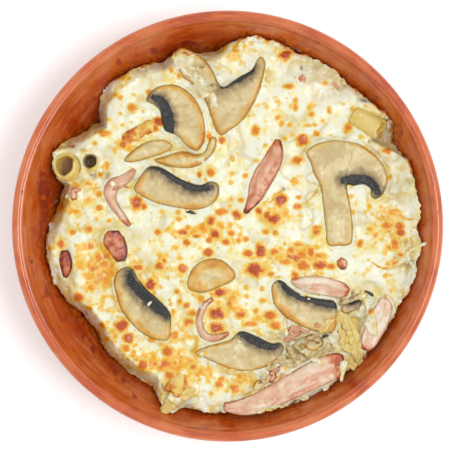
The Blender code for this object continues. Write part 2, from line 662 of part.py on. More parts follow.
def build_strip(name, seat, stations, thickness, mat):
    """A strip of ham: rounded sides and a slightly crowned back."""
    _, plane = seat
    section = [(-0.94, 0.0), (-1.0, 0.45), (-0.72, 0.86), (0.0, 1.0), (0.66, 0.84), (1.0, 0.5), (0.94, 0.0)]
    bm = bmesh.new()
    loops = []
    frames = strip_frames(stations)
    for x, y, half, across in frames:
        loop = []
        for side, rise in section:
            px = x + across.x * half * side
            py = y + across.y * half * side
            loop.append(bm.verts.new((px, py, plane(px, py) + thickness * rise)))
        loops.append(loop)
    for a, b in zip(loops, loops[1:]):
        stitch(bm, a, b)
    bm.faces.new(loops[0][::-1])
    bm.faces.new(loops[-1])
    return add_object(name, bm, mat, 45.0)


def main():
    clear_scene()
    seats = topping_seats()
    build_dish(material("terracotta", (0.52, 0.16, 0.06), 0.3))
    build_pasta(material("pasta", (0.82, 0.58, 0.16), 0.45))
    build_cheese(material("cheese", (0.90, 0.80, 0.52), 0.4), seats)
    mushroom = material("mushroom", (0.66, 0.47, 0.24), 0.5)
    for name, (_, thickness, _, _) in MUSHROOMS.items():
        build_slice(name, seats[name], thickness, mushroom)
    ham = material("ham", (0.62, 0.30, 0.22), 0.45)
    for name, (stations, thickness, _, _) in HAMS.items():
        build_strip(name, seats[name], stations, thickness, ham)


main()
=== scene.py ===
"""Looks of the baked pasta with mushrooms and ham in its round terracotta dish.

Lengths are in millimetres unless a comment says otherwise. Marks on the food are placed in
pixels of the 450 x 450 frame, in which the dish's rim is a circle of 216.1 pixels.
"""

import json
import math

import bmesh
import bpy
import numpy as np
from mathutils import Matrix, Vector
from mathutils.bvhtree import BVHTree
from mathutils.geometry import delaunay_2d_cdt

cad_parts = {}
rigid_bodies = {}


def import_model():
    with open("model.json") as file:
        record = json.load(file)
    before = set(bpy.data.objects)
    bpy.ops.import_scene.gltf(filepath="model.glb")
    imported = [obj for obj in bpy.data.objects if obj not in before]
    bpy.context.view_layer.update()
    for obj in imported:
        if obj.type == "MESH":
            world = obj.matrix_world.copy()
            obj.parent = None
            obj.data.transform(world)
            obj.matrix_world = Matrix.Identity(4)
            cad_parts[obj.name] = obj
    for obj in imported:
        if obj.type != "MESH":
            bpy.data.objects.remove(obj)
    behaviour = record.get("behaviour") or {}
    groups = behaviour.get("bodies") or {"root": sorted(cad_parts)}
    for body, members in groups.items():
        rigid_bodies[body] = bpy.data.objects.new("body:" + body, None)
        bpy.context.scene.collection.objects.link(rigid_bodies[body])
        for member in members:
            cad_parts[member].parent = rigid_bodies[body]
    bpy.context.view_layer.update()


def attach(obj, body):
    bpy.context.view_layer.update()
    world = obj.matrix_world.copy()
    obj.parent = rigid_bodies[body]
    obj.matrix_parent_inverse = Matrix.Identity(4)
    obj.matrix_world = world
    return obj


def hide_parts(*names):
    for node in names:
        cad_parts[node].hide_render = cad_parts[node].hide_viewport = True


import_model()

MM = 0.001
GAP = 0.35
FAR = 1e9
TINY = 1e-9

# The frame's pixels on the rim's plane, and the camera's height over it in metres
CENTRE_PX = (227.5, 226.1)
MM_PER_PX = 100.0 / 216.1
FRAME_WIDTH_PX = 450.0
CAMERA_HEIGHT = 1.5
SENSOR_WIDTH = 36.0

# Light of the studio on a level surface, from all round and from one side, and the sheen it leaves
SKY = 1.10
KEY = 0.34
KEY_DIRECTION = (0.42, -0.04, 1.0)
SUN_DEGREES = 22.0
SHEEN = 0.045
DARKEST = 0.002
FLOOR_HALF = 3000.0
FLOOR_LIGHT = (0.97, 0.97, 0.97, 1.0)
FLOOR_SHADE = (0.95, 0.95, 0.95, 1.0)

# Dish
RIM_RADIUS = 100.0
RIM_HEIGHT = 52.0
LIP_INNER_RADIUS = 94.6
LIP_DROP = 2.4
WALL_TOP = RIM_HEIGHT - LIP_DROP
FLOOR_RADIUS = 62.0
FLOOR_LEVEL = 8.0
WALL_POWER = 0.60
FOOT_RADIUS = 68.0
SHOULDER_HEIGHT = 47.0
SHOULDER_RADIUS = 99.0
OUTSIDE_POWER = 0.50
DISH_STEPS = 640
RIM_MARGIN = 0.02

# Bends of the dish: wall heights, the lip as (out from its inner edge, drop) and then as
# (in from the rim, drop), and the foot as (out from its edge, height)
WALL_BEND = (8.3, 9.5, 12.0, 15.0, 19.0)
LIP_RISE = [
    (0.0, LIP_DROP), (0.2, 2.0), (0.15, 1.75), (0.55, 1.2), (1.1, 0.62), (1.35, 0.72), (1.7, 0.34),
    (2.3, 0.08), (2.9, 0.02),
]
LIP_ROLL = [
    (2.0, 0.14), (1.4, 0.42), (0.85, 0.86), (0.4, 1.45), (0.1, 2.1), (0.0, 2.8), (0.15, 3.6), (0.7, 4.4),
]
FOOT_BEND = [(3.4, 1.0), (2.4, 0.3), (1.0, 0.0)]

# Radii of the turning lines on the wall
GROOVES = (93.0, 91.2, 88.6, 85.0)

# Baked top
CROWN_LEVEL = 41.0
EDGE_LEVEL = 40.0
DOME_RADIUS = 90.0
ROUND_OFF = 7.0
WALL_CLEARANCE = 0.5
CHEESE_DEPTH = 6.2
CHEESE_SKIRT = 8.0
TUBE_DEPTH = 5.4
SKIRT_WIDTH = 1.2
LIP_INSET = 5.0
HEAP_CLEARANCE = 0.9
HEAP_INSET = 2.6
HEAP_GAP = 1.0
HEAP_DROP = 2.5
HEAP_SHARES = (1.0, 0.6, 0.3, 0.1)
TOP_RINGS = 176
UNDER_RINGS = 20
SKIRT_FIELDS = {"crust": 0.5, "sauce": 0.7, "toast": 0.10}
SMALL_BLISTERS = 260
BLISTER_SEED = 7
STRANDS = 110
STRAND_SEED = 11
STRAND_REACH = 86.0
STRAND_STEP = 1.7

# Toppings: steps between an outline's points, rounding and mesh spacing, seeds, and the side's
# bands as (share of the height, bulge), with the depth that stands for each
COARSE_STEPS = 2
FINE_STEPS = 6
SLICE_BEVEL = 1.5
SLICE_SPACING = 0.36
SLICE_SEED = 40
STRIP_BEVEL = 1.2
STRIP_SPACING = 0.45
STRIP_SEED = 140
SEED_STEP = 7
SIDE_BANDS = ((0.45, 0.12), (0.0, -0.05))
SIDE_DEPTHS = (-0.3, -0.8)

# Steps round and along the tubes and the loose bits
TUBE_STEPS = 96
TUBE_RINGS = 24
BACK_RINGS = 40
BIT_STEPS = 28
BIT_RINGS = 13
SHRED_STEPS = 20

# The food's outline, as (degrees, radius), and the largest radius that it may have
FOOD_REACH = 91.2
FOOD_OUTLINE = [
    (4, 91.8), (9, 92.2), (18, 91), (23, 90), (27, 87.8), (32, 92.2), (39, 90.4), (49, 88.2), (58, 89.4),
    (68, 88.5), (76, 90), (83, 90.4), (88, 87.8), (94, 83.6), (102, 83.4), (107, 85.6), (112, 84.4),
    (122, 87.4), (129, 87.4), (135, 85), (141, 78.8), (148, 83), (157, 90), (162, 87.4), (166, 80.6),
    (172, 81), (183, 85.8), (191, 87.2), (198, 86.4), (206, 84.4), (211, 80.4), (219, 80.2), (226, 82.8),
    (237, 83.6), (245, 83.4), (250, 91), (254, 91.4), (257, 88.2), (263, 89), (268, 88.2), (279, 89),
    (287, 89), (294, 88.8), (302, 88.8), (307, 88.8), (315, 88.6), (323, 88.8), (335, 89.4), (346, 91.8),
    (355, 92), (359, 89.4),
]

# Swells and hollows of the top, as (x, y, half length, half width, turn in degrees, height)
MOUNDS = [
    (-29, 70, 15, 9, 10, 1.3), (-45, 56, 14, 12, 60, 1.4), (-2, 78, 13, 7, 0, 1.1), (33, 70, 15, 9, -25, 1),
    (50, 53, 14, 10, -30, 1), (8, 32, 16, 10, 20, 0.8), (-2, 6, 18, 9, 0, 0.7), (-66, 0, 9, 11, 0, 1.4),
    (-64, -30, 10, 12, 30, 1), (-44, -62, 15, 9, -25, 0.9), (-18, -74, 10, 8, 20, 1),
    (-8, -80, 7, 7, 0, 1.1), (77, -4, 8, 12, 0, 1.6), (75, 22, 8, 9, 0, -1), (38, -11, 16, 6, 0, 1.1),
    (66, -30, 9, 7, 0, -0.9), (33, -56, 10, 7, 30, -1.5), (-77, -19, 4, 11, 5, -2.2),
    (-70, -20, 3, 10, 15, 1.2), (-83, -18, 3, 10, -12, 1), (60, 42, 9, 7, 20, -0.8), (-39, 43, 9, 4, 30, 1),
    (14, -20, 12, 8, 0, 0.5), (-38, -12, 10, 8, 0, 0.6),
]
WAVE_HEIGHT = 0.35
WAVE_LENGTHS = (31.0, 23.0, 17.0)

# Tubes, as (foot, open end, outer radius, bore radius)
TUBES = {
    "end_left": ((-70.4, 24.4, 30.0), (-76.0, 28.4, 42.4), 6.7, 4.8),
    "end_left_inner": ((-61.5, 28.2, 29.0), (-64.6, 30.6, 41.4), 5.8, 3.8),
    "end_far_right": ((59.6, 52.0, 37.6), (71.2, 45.0, 40.9), 5.5, 3.9),
    "end_near_left": ((-20.4, -71.4, 36.6), (-26.0, -79.5, 40.2), 5.7, 4.1),
    "back_right": ((56.2, -43.6, 36.4), (57.6, -57.0, 35.8), 5.6, 0.0),
    "back_near": ((28.2, -64.4, 36.2), (33.4, -58.8, 36.6), 4.6, 0.0),
    "back_far_left": ((-48.6, 39.4, 38.0), (-34.6, 47.6, 38.8), 4.2, 0.0),
}

# Mushroom slices: outline, thickness, sink and tilt
MUSHROOMS = {
    "mushroom_1": ([
        (-37.7, 58.6), (-35.4, 62.7), (-32.2, 64.8), (-27.7, 65.7), (-22.4, 64.8), (-17.1, 61.2),
        (-13.4, 55.9), (-11.4, 50.0), (-10.6, 43.5), (-11.4, 38.8), (-13.8, 35.6), (-16.8, 36.0),
        (-19.9, 38.6), (-22.4, 41.7), (-26.1, 43.4), (-28.9, 44.6), (-30.3, 48.3), (-31.0, 53.0),
        (-33.5, 56.3)], 4.6, 1.6, (0.02, -0.05)),
    "mushroom_2": ([
        (-21.2, 83.2), (-24.0, 81.6), (-25.6, 78.3), (-23.4, 73.6), (-20.2, 69.2), (-16.4, 66.2),
        (-12.2, 61.6), (-9.4, 56.5), (-7.3, 50.5), (-5.4, 45.1), (-3.0, 42.6), (0.7, 44.7),
        (5.8, 48.6), (10.4, 54.6), (14.1, 62.0), (16.4, 69.5), (17.4, 75.6), (15.8, 78.8),
        (13.8, 77.2), (11.3, 72.7), (5.8, 69.5), (-1.6, 64.8), (-4.9, 67.3), (-6.5, 71.3),
        (-10.0, 76.6), (-15.0, 80.6)], 4.8, 2.4, (0.03, -0.02)),
    "mushroom_3": ([
        (-48.0, 30.8), (-44.3, 35.0), (-37.8, 39.0), (-31.3, 40.2), (-27.3, 38.9), (-25.9, 36.9),
        (-30.1, 34.0), (-37.2, 31.6), (-44.3, 29.9)], 4.0, 1.2, (0.05, 0.02)),
    "mushroom_4": ([
        (-34.0, 30.8), (-30.3, 32.0), (-24.3, 34.0), (-19.4, 34.6), (-14.6, 33.2), (-10.6, 34.8),
        (-8.9, 38.6), (-7.6, 41.4), (-5.4, 40.8), (-5.6, 37.2), (-8.3, 32.5), (-13.0, 28.8),
        (-18.3, 27.2), (-24.8, 27.6), (-31.0, 29.0)], 3.8, 2.2, (0.0, 0.04)),
    "mushroom_5": ([
        (-43.4, 17.4), (-40.1, 23.5), (-37.4, 26.9), (-35.0, 27.9), (-31.2, 27.2), (-26.6, 24.7),
        (-22.7, 22.2), (-17.1, 19.9), (-12.4, 19.0), (-8.3, 20.6), (-4.9, 19.5), (-4.1, 15.8),
        (-5.9, 11.7), (-10.6, 8.7), (-16.0, 7.8), (-22.4, 8.7), (-28.9, 9.9), (-34.8, 11.7),
        (-40.1, 14.4)], 4.6, 1.8, (-0.02, 0.04)),
    "mushroom_6": ([
        (36.9, 34.1), (38.9, 36.5), (43.6, 38.8), (49.6, 39.8), (55.4, 39.4), (62.0, 37.6),
        (67.3, 34.1), (71.4, 29.9), (74.0, 24.6), (74.4, 19.9), (72.0, 14.8), (69.2, 12.9),
        (66.9, 14.2), (66.8, 17.4), (63.2, 19.7), (59.0, 19.0), (55.6, 19.2), (56.0, 14.0),
        (57.2, 8.1), (58.1, -1.8), (57.4, -8.0), (52.1, -8.9), (46.9, -8.5), (46.0, -1.8),
        (45.4, 3.7), (44.6, 11.1), (43.5, 18.6), (40.4, 24.6), (38.9, 29.9)], 4.6, 1.8, (0.01, 0.02)),
    "mushroom_7": ([
        (-46.5, -19.1), (-50.0, -20.3), (-52.1, -22.8), (-52.7, -26.8), (-51.9, -31.3),
        (-49.6, -38.4), (-46.0, -43.7), (-40.7, -49.0), (-34.8, -52.3), (-29.1, -53.2),
        (-27.0, -51.1), (-26.6, -46.1), (-27.3, -39.9), (-33.3, -33.5), (-38.2, -29.1),
        (-42.1, -24.2), (-44.0, -20.6)], 4.8, 1.8, (0.04, 0.03)),
    "mushroom_8": ([
        (-18.3, -28.6), (-17.7, -23.0), (-14.2, -17.9), (-8.8, -15.5), (-3.0, -16.0),
        (1.7, -19.6), (3.6, -23.2), (0.6, -26.4), (-5.3, -28.7), (-10.0, -30.6),
        (-14.8, -30.5)], 3.8, 1.8, (0.0, 0.03)),
    "mushroom_9": ([
        (20.7, -30.1), (21.3, -26.9), (23.8, -25.2), (26.4, -26.3), (28.9, -28.6), (33.0, -31.5),
        (38.9, -33.3), (44.8, -34.2), (49.6, -35.1), (50.9, -38.4), (50.9, -43.1), (50.2, -47.0),
        (47.7, -49.6), (42.5, -49.1), (35.4, -46.8), (28.9, -43.5), (24.8, -40.0),
        (21.8, -35.8)], 4.8, 1.6, (0.02, 0.05)),
    "mushroom_10": ([
        (-14.9, -59.2), (-10.0, -56.3), (-4.1, -54.8), (1.2, -53.3), (4.1, -50.6), (6.4, -49.1),
        (10.0, -49.9), (15.3, -52.4), (20.4, -54.7), (24.1, -54.4), (26.1, -56.4), (25.2, -59.4),
        (22.7, -62.0), (18.7, -64.8), (13.0, -66.8), (7.1, -67.4), (1.2, -66.4), (-4.1, -64.2),
        (-10.0, -61.5)], 4.4, 1.6, (0.0, 0.05)),
    "mushroom_11": ([
        (53.2, -37.5), (56.6, -36.1), (61.2, -34.4), (62.5, -35.8), (61.1, -38.4), (58.1, -39.8),
        (54.8, -40.8), (53.2, -39.8)], 3.2, 1.2, (0.0, 0.0)),
    "mushroom_12": ([
        (36.3, -52.0), (38.6, -50.9), (42.3, -51.6), (44.4, -53.2), (43.5, -56.0), (40.5, -58.0),
        (37.4, -57.6), (35.9, -55.0)], 5.0, 1.0, (0.0, 0.0)),
    "mushroom_13": ([
        (11.9, -76.2), (12.7, -73.1), (15.0, -71.6), (17.0, -72.8), (16.7, -75.1),
        (14.0, -77.0)], 3.6, 1.2, (0.0, 0.0)),
}

# Gills: middle line and half width in pixels
GILLS = {
    "mushroom_1": [(152.5, 97, 2.2), (160, 99.8, 4.0), (165.6, 108.5, 5.0), (167.6, 118, 5.4),
                   (168.6, 131, 5.0)],
    "mushroom_2": [(222, 87, 1.5), (230, 81.5, 2.8), (240, 76.5, 3), (249, 71.5, 2.6), (253.5, 66.5, 1.5)],
    "mushroom_5": [(150.5, 164.5, 2.5), (162.4, 167.2, 4.6), (176.5, 176.7, 4.8), (189.2, 184.3, 4.6),
                   (200.7, 187, 3.8), (208.5, 187, 2.2)],
    "mushroom_6": [(344.5, 180, 3), (355, 180.2, 4.8), (364.5, 179.3, 4), (372.8, 184.4, 4.2),
                   (378.5, 191.5, 2.5)],
    "mushroom_7": [(129, 272.5, 2.5), (131.5, 282, 4.5), (139.5, 291.5, 5.2), (150.5, 301.2, 5.6),
                   (160.5, 310, 5.4), (168.5, 315.5, 3.2)],
    "mushroom_9": [(281.5, 282, 2.5), (289.3, 290, 4), (298.9, 296.4, 3.4), (311.6, 300.2, 3.2),
                   (324.4, 303, 3.8), (336, 304.6, 4.4)],
    "mushroom_10": [(238.8, 332, 2.5), (248.5, 337, 4.6), (260.6, 343.5, 4.8), (271, 347.3, 3.8),
                    (277, 346.5, 1.8)],
    "mushroom_11": [(352, 303, 2.5), (357, 301.5, 2.8), (363, 299.5, 2.0)],
    "mushroom_12": [(322, 336, 2.5), (327, 339, 3.0)],
}

# How golden the slice's rim is, and how wide, in millimetres
GOLDEN = {
    "mushroom_1": (0.75, 4.0), "mushroom_2": (0.7, 4.0), "mushroom_3": (0.55, 2.5), "mushroom_4": (0.7, 4.0),
    "mushroom_5": (0.85, 4.5), "mushroom_6": (0.45, 2.6), "mushroom_7": (1.0, 4.5), "mushroom_8": (1.0, 9.0),
    "mushroom_9": (1.0, 5.5), "mushroom_10": (0.45, 2.4),
}
GREY_FLESH = {
    "mushroom_2": 0.16, "mushroom_5": 0.16, "mushroom_6": 0.10, "mushroom_7": 0.12, "mushroom_10": 0.12,
}

# Ham: stations as (x, y, half width), thickness, sink and tilt
HAMS = {
    "ham_1": ([
        (23.4, 40.3, 1.2), (22.7, 35.2, 3.2), (20.6, 29.7, 4.3), (17.1, 23.6, 4.7), (14.3, 18.1, 4.2),
        (12.7, 13.5, 3.2), (10.2, 9.3, 1.8), (8.3, 6.1, 0.9)], 3.6, 1.4, (0.0, 0.03)),
    "ham_2": ([
        (-43.4, 26.4, 0.8), (-46.2, 23.2, 2.0), (-49.8, 20.8, 2.6), (-53.2, 19.2, 3.0),
        (-54.8, 15.4, 2.8), (-53.4, 10.6, 2.1), (-50.6, 6.5, 1.7), (-47.9, 2.8, 1.5),
        (-45.5, 0.2, 0.8)], 2.8, 1.0, (0.0, 0.03)),
    "ham_3": ([
        (-53.4, -2.2, 2.6), (-53.0, -6.4, 4.8), (-51.1, -10.1, 4.2), (-50.1, -13.6, 3.4),
        (-49.6, -16.4, 1.8)], 3.4, 1.4, (0.0, 0.0)),
    "ham_4": ([
        (-76.1, -11.4, 1.6), (-75.6, -15.0, 2.8), (-75.2, -19.4, 2.6), (-75.8, -24.0, 0.9)],
        3.2, 1.2, (0.0, -0.02)),
    "ham_5": ([
        (-6.9, -33.9, 0.9), (-10.4, -36.5, 1.3), (-12.5, -40.7, 1.4), (-13.2, -45.3, 1.5),
        (-11.6, -49.9, 1.7), (-8.1, -52.1, 1.6), (-3.6, -51.6, 1.4), (0.4, -49.8, 0.8)],
        2.8, 0.8, (0.0, 0.0)),
    "ham_6": ([
        (29.8, -25.4, 0.8), (33.4, -26.4, 2.6), (38.9, -27.2, 4.0), (44.6, -28.0, 4.2),
        (50.2, -29.2, 3.9), (54.2, -30.2, 3.2), (56.4, -31.0, 1.6)], 2.8, 1.4, (0.02, 0.03)),
    "ham_7": ([
        (-1.6, -84.2, 1.8), (5.8, -84.4, 3.6), (13.2, -82.8, 4.6), (20.6, -79.4, 5.0), (28.9, -75.2, 5.6),
        (37.2, -71.0, 6.0), (45.1, -67.0, 6.2), (51.1, -64.8, 5.8), (54.4, -64.2, 4.0)],
        4.2, 0.2, (0.01, -0.05)),
    "ham_8": ([
        (73.3, -33.7, 2.4), (72.6, -38.8, 4.0), (70.0, -44.2, 5.0), (67.8, -49.4, 4.5),
        (65.6, -54.4, 3.6), (64.2, -57.8, 1.8)], 3.8, -0.4, (0.02, -0.02)),
    "ham_9": ([
        (51.9, -15.6, 1.4), (53.5, -17.6, 2.4), (53.9, -20.2, 1.0)], 2.6, 1.0, (0.0, 0.0)),
    "ham_10": ([
        (28.5, -48.3, 1.4), (31.3, -49.4, 2.2), (33.8, -50.2, 1.0)], 2.8, 1.0, (0.0, 0.0)),
    "ham_11": ([
        (21.2, -67.4, 1.4), (20.8, -70.3, 1.7), (20.2, -73.0, 0.8)], 2.8, 1.0, (0.0, 0.0)),
    "ham_12": ([
        (-72.1, 17.6, 0.9), (-71.8, 14.8, 1.7), (-71.5, 12.0, 1.0)], 2.6, 1.0, (0.0, 0.0)),
}

# How roasted each piece of ham is as a whole, from 0 to 1
HAM_ROAST = {"ham_3": 0.75, "ham_4": 0.85, "ham_9": 0.6, "ham_11": 0.3, "ham_12": 0.2}

# How much paler each strip is than the rest
HAM_TONES = {"ham_1": -0.38, "ham_6": 0.22, "ham_7": 0.12, "ham_8": 0.25, "ham_3": 0.1}

# How roasted each strip is along its left and right side, at its first and at its last end
HAM_EDGES = {
    "ham_1": (1.0, 0.25, 0.6, 0.8), "ham_2": (0.25, 0.35, 0.3, 0.6), "ham_5": (0.3, 0.6, 0.4, 0.3),
    "ham_6": (0.65, 0.1, 0.15, 0.5), "ham_7": (0.45, 0.20, 0.25, 0.95), "ham_8": (0.1, 0.30, 0.15, 0.6),
}

# Blisters in pixels, as (x, y, half width, half height, strength)
BLISTERS = [
    (171, 69, 2.5, 3, 0.6), (179, 75, 2.5, 3.2, 0.65), (236, 50, 4, 2.5, 0.55), (115, 94, 3.4, 2.6, 0.5),
    (120, 97, 2.6, 2.6, 0.6), (132, 107, 6, 4.3, 0.65), (122, 124, 2.5, 2.5, 0.45),
    (120, 113, 2.5, 2.3, 0.4), (107, 119, 4, 2, 0.35), (122, 85, 2, 2, 0.3), (104, 133, 7, 3.4, 0.68),
    (94, 143, 3, 3, 0.55), (106, 165, 2.5, 4.5, 0.6), (99, 174, 3.2, 3.2, 0.7), (87, 183, 4.5, 3.4, 0.6),
    (98, 194, 3.6, 3.6, 0.65), (99, 208, 4, 3.8, 0.72), (158, 121, 6, 4.4, 0.95), (154, 127, 4, 3.5, 0.85),
    (122, 144, 4.4, 3.6, 0.85), (136, 139, 6, 3, 0.6), (149, 92, 3.6, 3.4, 0.75), (136, 202, 6, 7.5, 0.95),
    (143, 206, 3.5, 4, 0.8), (211, 172, 4.6, 4.4, 0.8), (199, 174, 2.5, 4, 0.78), (232, 173, 2.8, 2.6, 0.4),
    (232.6, 158, 2.5, 3.4, 0.45), (222, 140, 3.3, 4.2, 0.85), (209, 136, 2.8, 5, 0.7),
    (229, 164, 2, 2, 0.3), (59, 207, 4.6, 6, 0.7), (57, 142, 3.4, 2.4, 0.6), (162, 212, 3, 2.6, 0.35),
    (178, 212, 3, 3, 0.5), (178, 219, 3.6, 3, 0.55), (188, 228, 3.6, 3, 0.6), (222, 212, 6, 3.6, 0.68),
    (211, 221, 5, 6, 0.92), (231, 200, 3, 2.6, 0.5), (230, 206, 2.5, 2.5, 0.45), (236, 214, 4, 3.8, 0.92),
    (96, 219, 2.5, 2.5, 0.4), (108, 221, 3.5, 2.6, 0.55), (88, 229, 4, 3.8, 0.78), (267, 40, 4, 3.4, 0.42),
    (285, 54, 6.8, 6.2, 0.98), (289, 86, 5.5, 3.4, 0.7), (326, 82, 3, 2.8, 0.55), (296, 99, 2.8, 2.8, 0.6),
    (296, 106.5, 3, 4.4, 0.68), (310, 106, 3, 3, 0.5), (312, 114, 3.2, 3, 0.65), (330, 110, 3, 4, 0.62),
    (353, 108.5, 3, 3, 0.5), (278, 117, 3.2, 3.4, 0.65), (282, 122.5, 2.6, 3.5, 0.6),
    (290, 124, 2.6, 2.8, 0.5), (255.5, 130, 5.1, 5, 0.74), (309, 125, 5, 2, 0.38),
    (315.5, 124, 2.6, 2.4, 0.48), (317, 133, 3.5, 3.3, 0.64), (304, 140, 7, 6.2, 0.93),
    (285, 138, 3.6, 2.6, 0.42), (292.5, 134.5, 2.6, 2.2, 0.4), (349, 127.5, 5.2, 5.2, 0.76),
    (366.5, 126, 3, 3, 0.6), (362, 136, 2.6, 2.8, 0.4), (380, 132, 4, 5, 0.72), (387.5, 150, 5, 3, 0.75),
    (297.6, 160, 6.4, 4.5, 0.84), (266, 145, 2.6, 2.4, 0.42), (257, 160, 2.8, 2.4, 0.34),
    (245, 175, 3.4, 3, 0.62), (231, 182, 2.5, 2.5, 0.45), (295, 181, 4, 4, 0.5), (299.5, 197, 3, 2, 0.6),
    (298, 206, 5, 3.4, 0.82), (301, 216, 3.5, 2, 0.4), (312, 220, 2, 2, 0.3), (391, 177, 3, 3, 0.55),
    (281, 200, 7.2, 7, 1), (274, 219, 7.4, 6.6, 1), (259, 211, 4, 4, 0.92), (268, 215, 4, 4, 0.9),
    (241, 200, 3.4, 3, 0.65), (238, 216, 4.4, 4, 0.88), (231, 199, 2.5, 2.5, 0.55), (317, 228, 5, 3, 0.7),
    (352, 196, 4, 3, 0.35), (354, 212, 3, 3, 0.42), (382, 207, 3, 3, 0.5), (396, 212, 7, 4, 0.6),
    (388, 225, 6, 4, 0.78), (401, 226, 5, 4, 0.84), (371.6, 229, 4, 2.6, 0.5), (59, 244, 4, 5, 0.84),
    (71, 232, 4, 3.4, 0.7), (90, 246, 4.2, 4, 0.74), (97, 257, 4, 6, 0.74), (104, 264.5, 5, 4, 0.72),
    (88.5, 277, 7, 5, 0.5), (90, 287.5, 5, 3.4, 0.64), (78, 297.6, 5.6, 4.4, 0.9), (88.5, 308, 4, 3, 0.5),
    (101, 326, 3.5, 4, 0.74), (106, 340, 3, 3, 0.64), (121, 325.7, 6.6, 6.4, 0.95),
    (128, 339, 5.8, 5, 0.95), (125.5, 348.6, 4.4, 4.4, 0.72), (167.6, 352, 6.6, 5.4, 0.84),
    (142, 366, 4.8, 6, 0.88), (155, 365, 3, 2.8, 0.72), (175, 364, 3, 2.8, 0.66), (193, 368, 4.4, 4, 0.78),
    (169, 377, 5, 4.8, 0.82), (183, 384, 5.2, 4.6, 0.88), (132.5, 357, 3, 2.6, 0.5),
    (211, 395, 3, 2.8, 0.55), (199, 380.5, 2, 2.2, 0.45), (222, 380.5, 3.6, 3, 0.64),
    (219, 386, 4, 3, 0.76), (236, 391, 6, 3.6, 0.74), (181.6, 232.6, 6, 3, 0.93),
    (186, 242, 4.2, 3.8, 0.85), (157, 232, 4, 3.2, 0.7), (196, 236, 4.4, 2, 0.8), (208, 253, 5, 4.6, 0.88),
    (215, 233, 5.6, 5, 0.98), (209, 240, 3.6, 3.2, 0.78), (226, 242, 5, 3.4, 0.84),
    (231, 233, 4, 3.6, 0.78), (182, 269, 4.8, 4.6, 0.86), (159, 266, 4.6, 4.4, 0.84),
    (164, 261, 3.4, 3.6, 0.74), (137, 268, 6, 3.2, 0.8), (150, 285, 5.6, 5.6, 0.98),
    (177, 292.5, 3, 3, 0.72), (180, 302, 3.6, 3.2, 0.6), (186, 306, 4.2, 3.6, 0.83),
    (192, 313.5, 5.4, 4, 0.73), (188, 323, 5, 4.6, 0.83), (201, 299, 4, 3.6, 0.6), (220, 292.5, 9, 5, 1),
    (217, 314, 9.4, 6, 1), (216, 328, 9.6, 5.4, 0.95), (168, 278.5, 2.5, 3, 0.35),
    (173, 312, 2.6, 2.6, 0.55), (174, 336, 5, 4, 0.7), (151, 340, 3.6, 4, 0.6), (182, 331, 2.4, 2.4, 0.4),
    (239, 315.5, 4, 4, 0.7), (261, 251, 5.3, 7.8, 1), (248.5, 254, 5, 3.6, 0.85),
    (255.5, 270, 11.6, 6.8, 1), (239, 241, 3, 3, 0.78), (246, 239.6, 3.2, 3, 0.72), (266, 232, 4, 3, 0.65),
    (276, 233, 3, 3, 0.62), (275, 252, 5, 3.4, 0.74), (299, 245, 5.6, 3, 0.7), (292, 251, 4, 4, 0.74),
    (311.6, 252, 3.8, 5.5, 0.8), (286, 262, 7, 3, 0.62), (304, 266, 7, 6, 0.78), (321, 265, 7.4, 4.8, 0.94),
    (331, 267, 5, 3, 0.8), (296, 276, 4.2, 3.8, 0.8), (318, 232, 5.4, 4, 0.78), (361, 243.5, 4, 3.8, 0.74),
    (377, 235, 3, 3, 0.6), (396, 244, 4, 6, 0.74), (402, 232.6, 4.4, 4, 0.9), (402, 255, 4, 2.6, 0.83),
    (396, 263, 4, 3, 0.7), (389, 265, 2.6, 2.4, 0.5), (370, 260, 2.6, 2.4, 0.34),
    (246.6, 288, 2.6, 3, 0.45), (262.5, 289, 2.6, 2.8, 0.5), (247, 297, 2.8, 2.6, 0.5),
    (262.5, 301, 5, 2.8, 0.55), (242, 315.5, 5, 4.6, 0.88), (256, 312, 3, 3, 0.6), (271, 316, 8, 4.6, 0.83),
    (249, 325, 7.5, 3, 0.68), (275, 326, 7, 5.2, 0.73), (240, 377, 3, 3.4, 0.6), (234, 389, 7, 4, 0.8),
    (371.6, 312, 3, 3, 0.72), (271.5, 274.6, 3.6, 3.4, 0.74), (387, 276, 3, 2.4, 0.5),
]

# Colour zones in pixels, as (x, y, half width, half height, turn in degrees, strength)
TOASTED = [
    (112, 300, 34, 42, 0, 0.3), (158, 364, 34, 15, 0, 0.42), (98, 272, 20, 18, 0, 0.45),
    (72, 212, 16, 12, 0, 0.35), (60, 205, 7, 10, 0, 0.55), (236, 50, 16, 9, 0, 0.3),
    (300, 258, 30, 14, 0, 0.75), (270, 214, 22, 12, 0, 0.5), (215, 228, 24, 12, 0, 0.45),
    (182, 236, 16, 10, 0, 0.4), (386, 215, 18, 14, 0, 0.4), (396, 240, 14, 16, 0, 0.4),
    (245, 384, 22, 13, 0, 0.5), (262, 318, 26, 12, 0, 0.5), (100, 248, 20, 14, 0, 0.45),
    (152, 268, 22, 16, 0, 0.4), (128, 142, 16, 8, 30, 0.55), (225, 305, 18, 20, 0, 0.4),
    (300, 48, 14, 8, 0, 0.2), (176, 392, 20, 14, 0, 0.35), (185, 345, 18, 16, 0, 0.35),
    (108, 340, 12, 14, 30, 0.2), (210, 372, 20, 10, 0, 0.35), (84, 190, 18, 12, 0, 0.35),
]
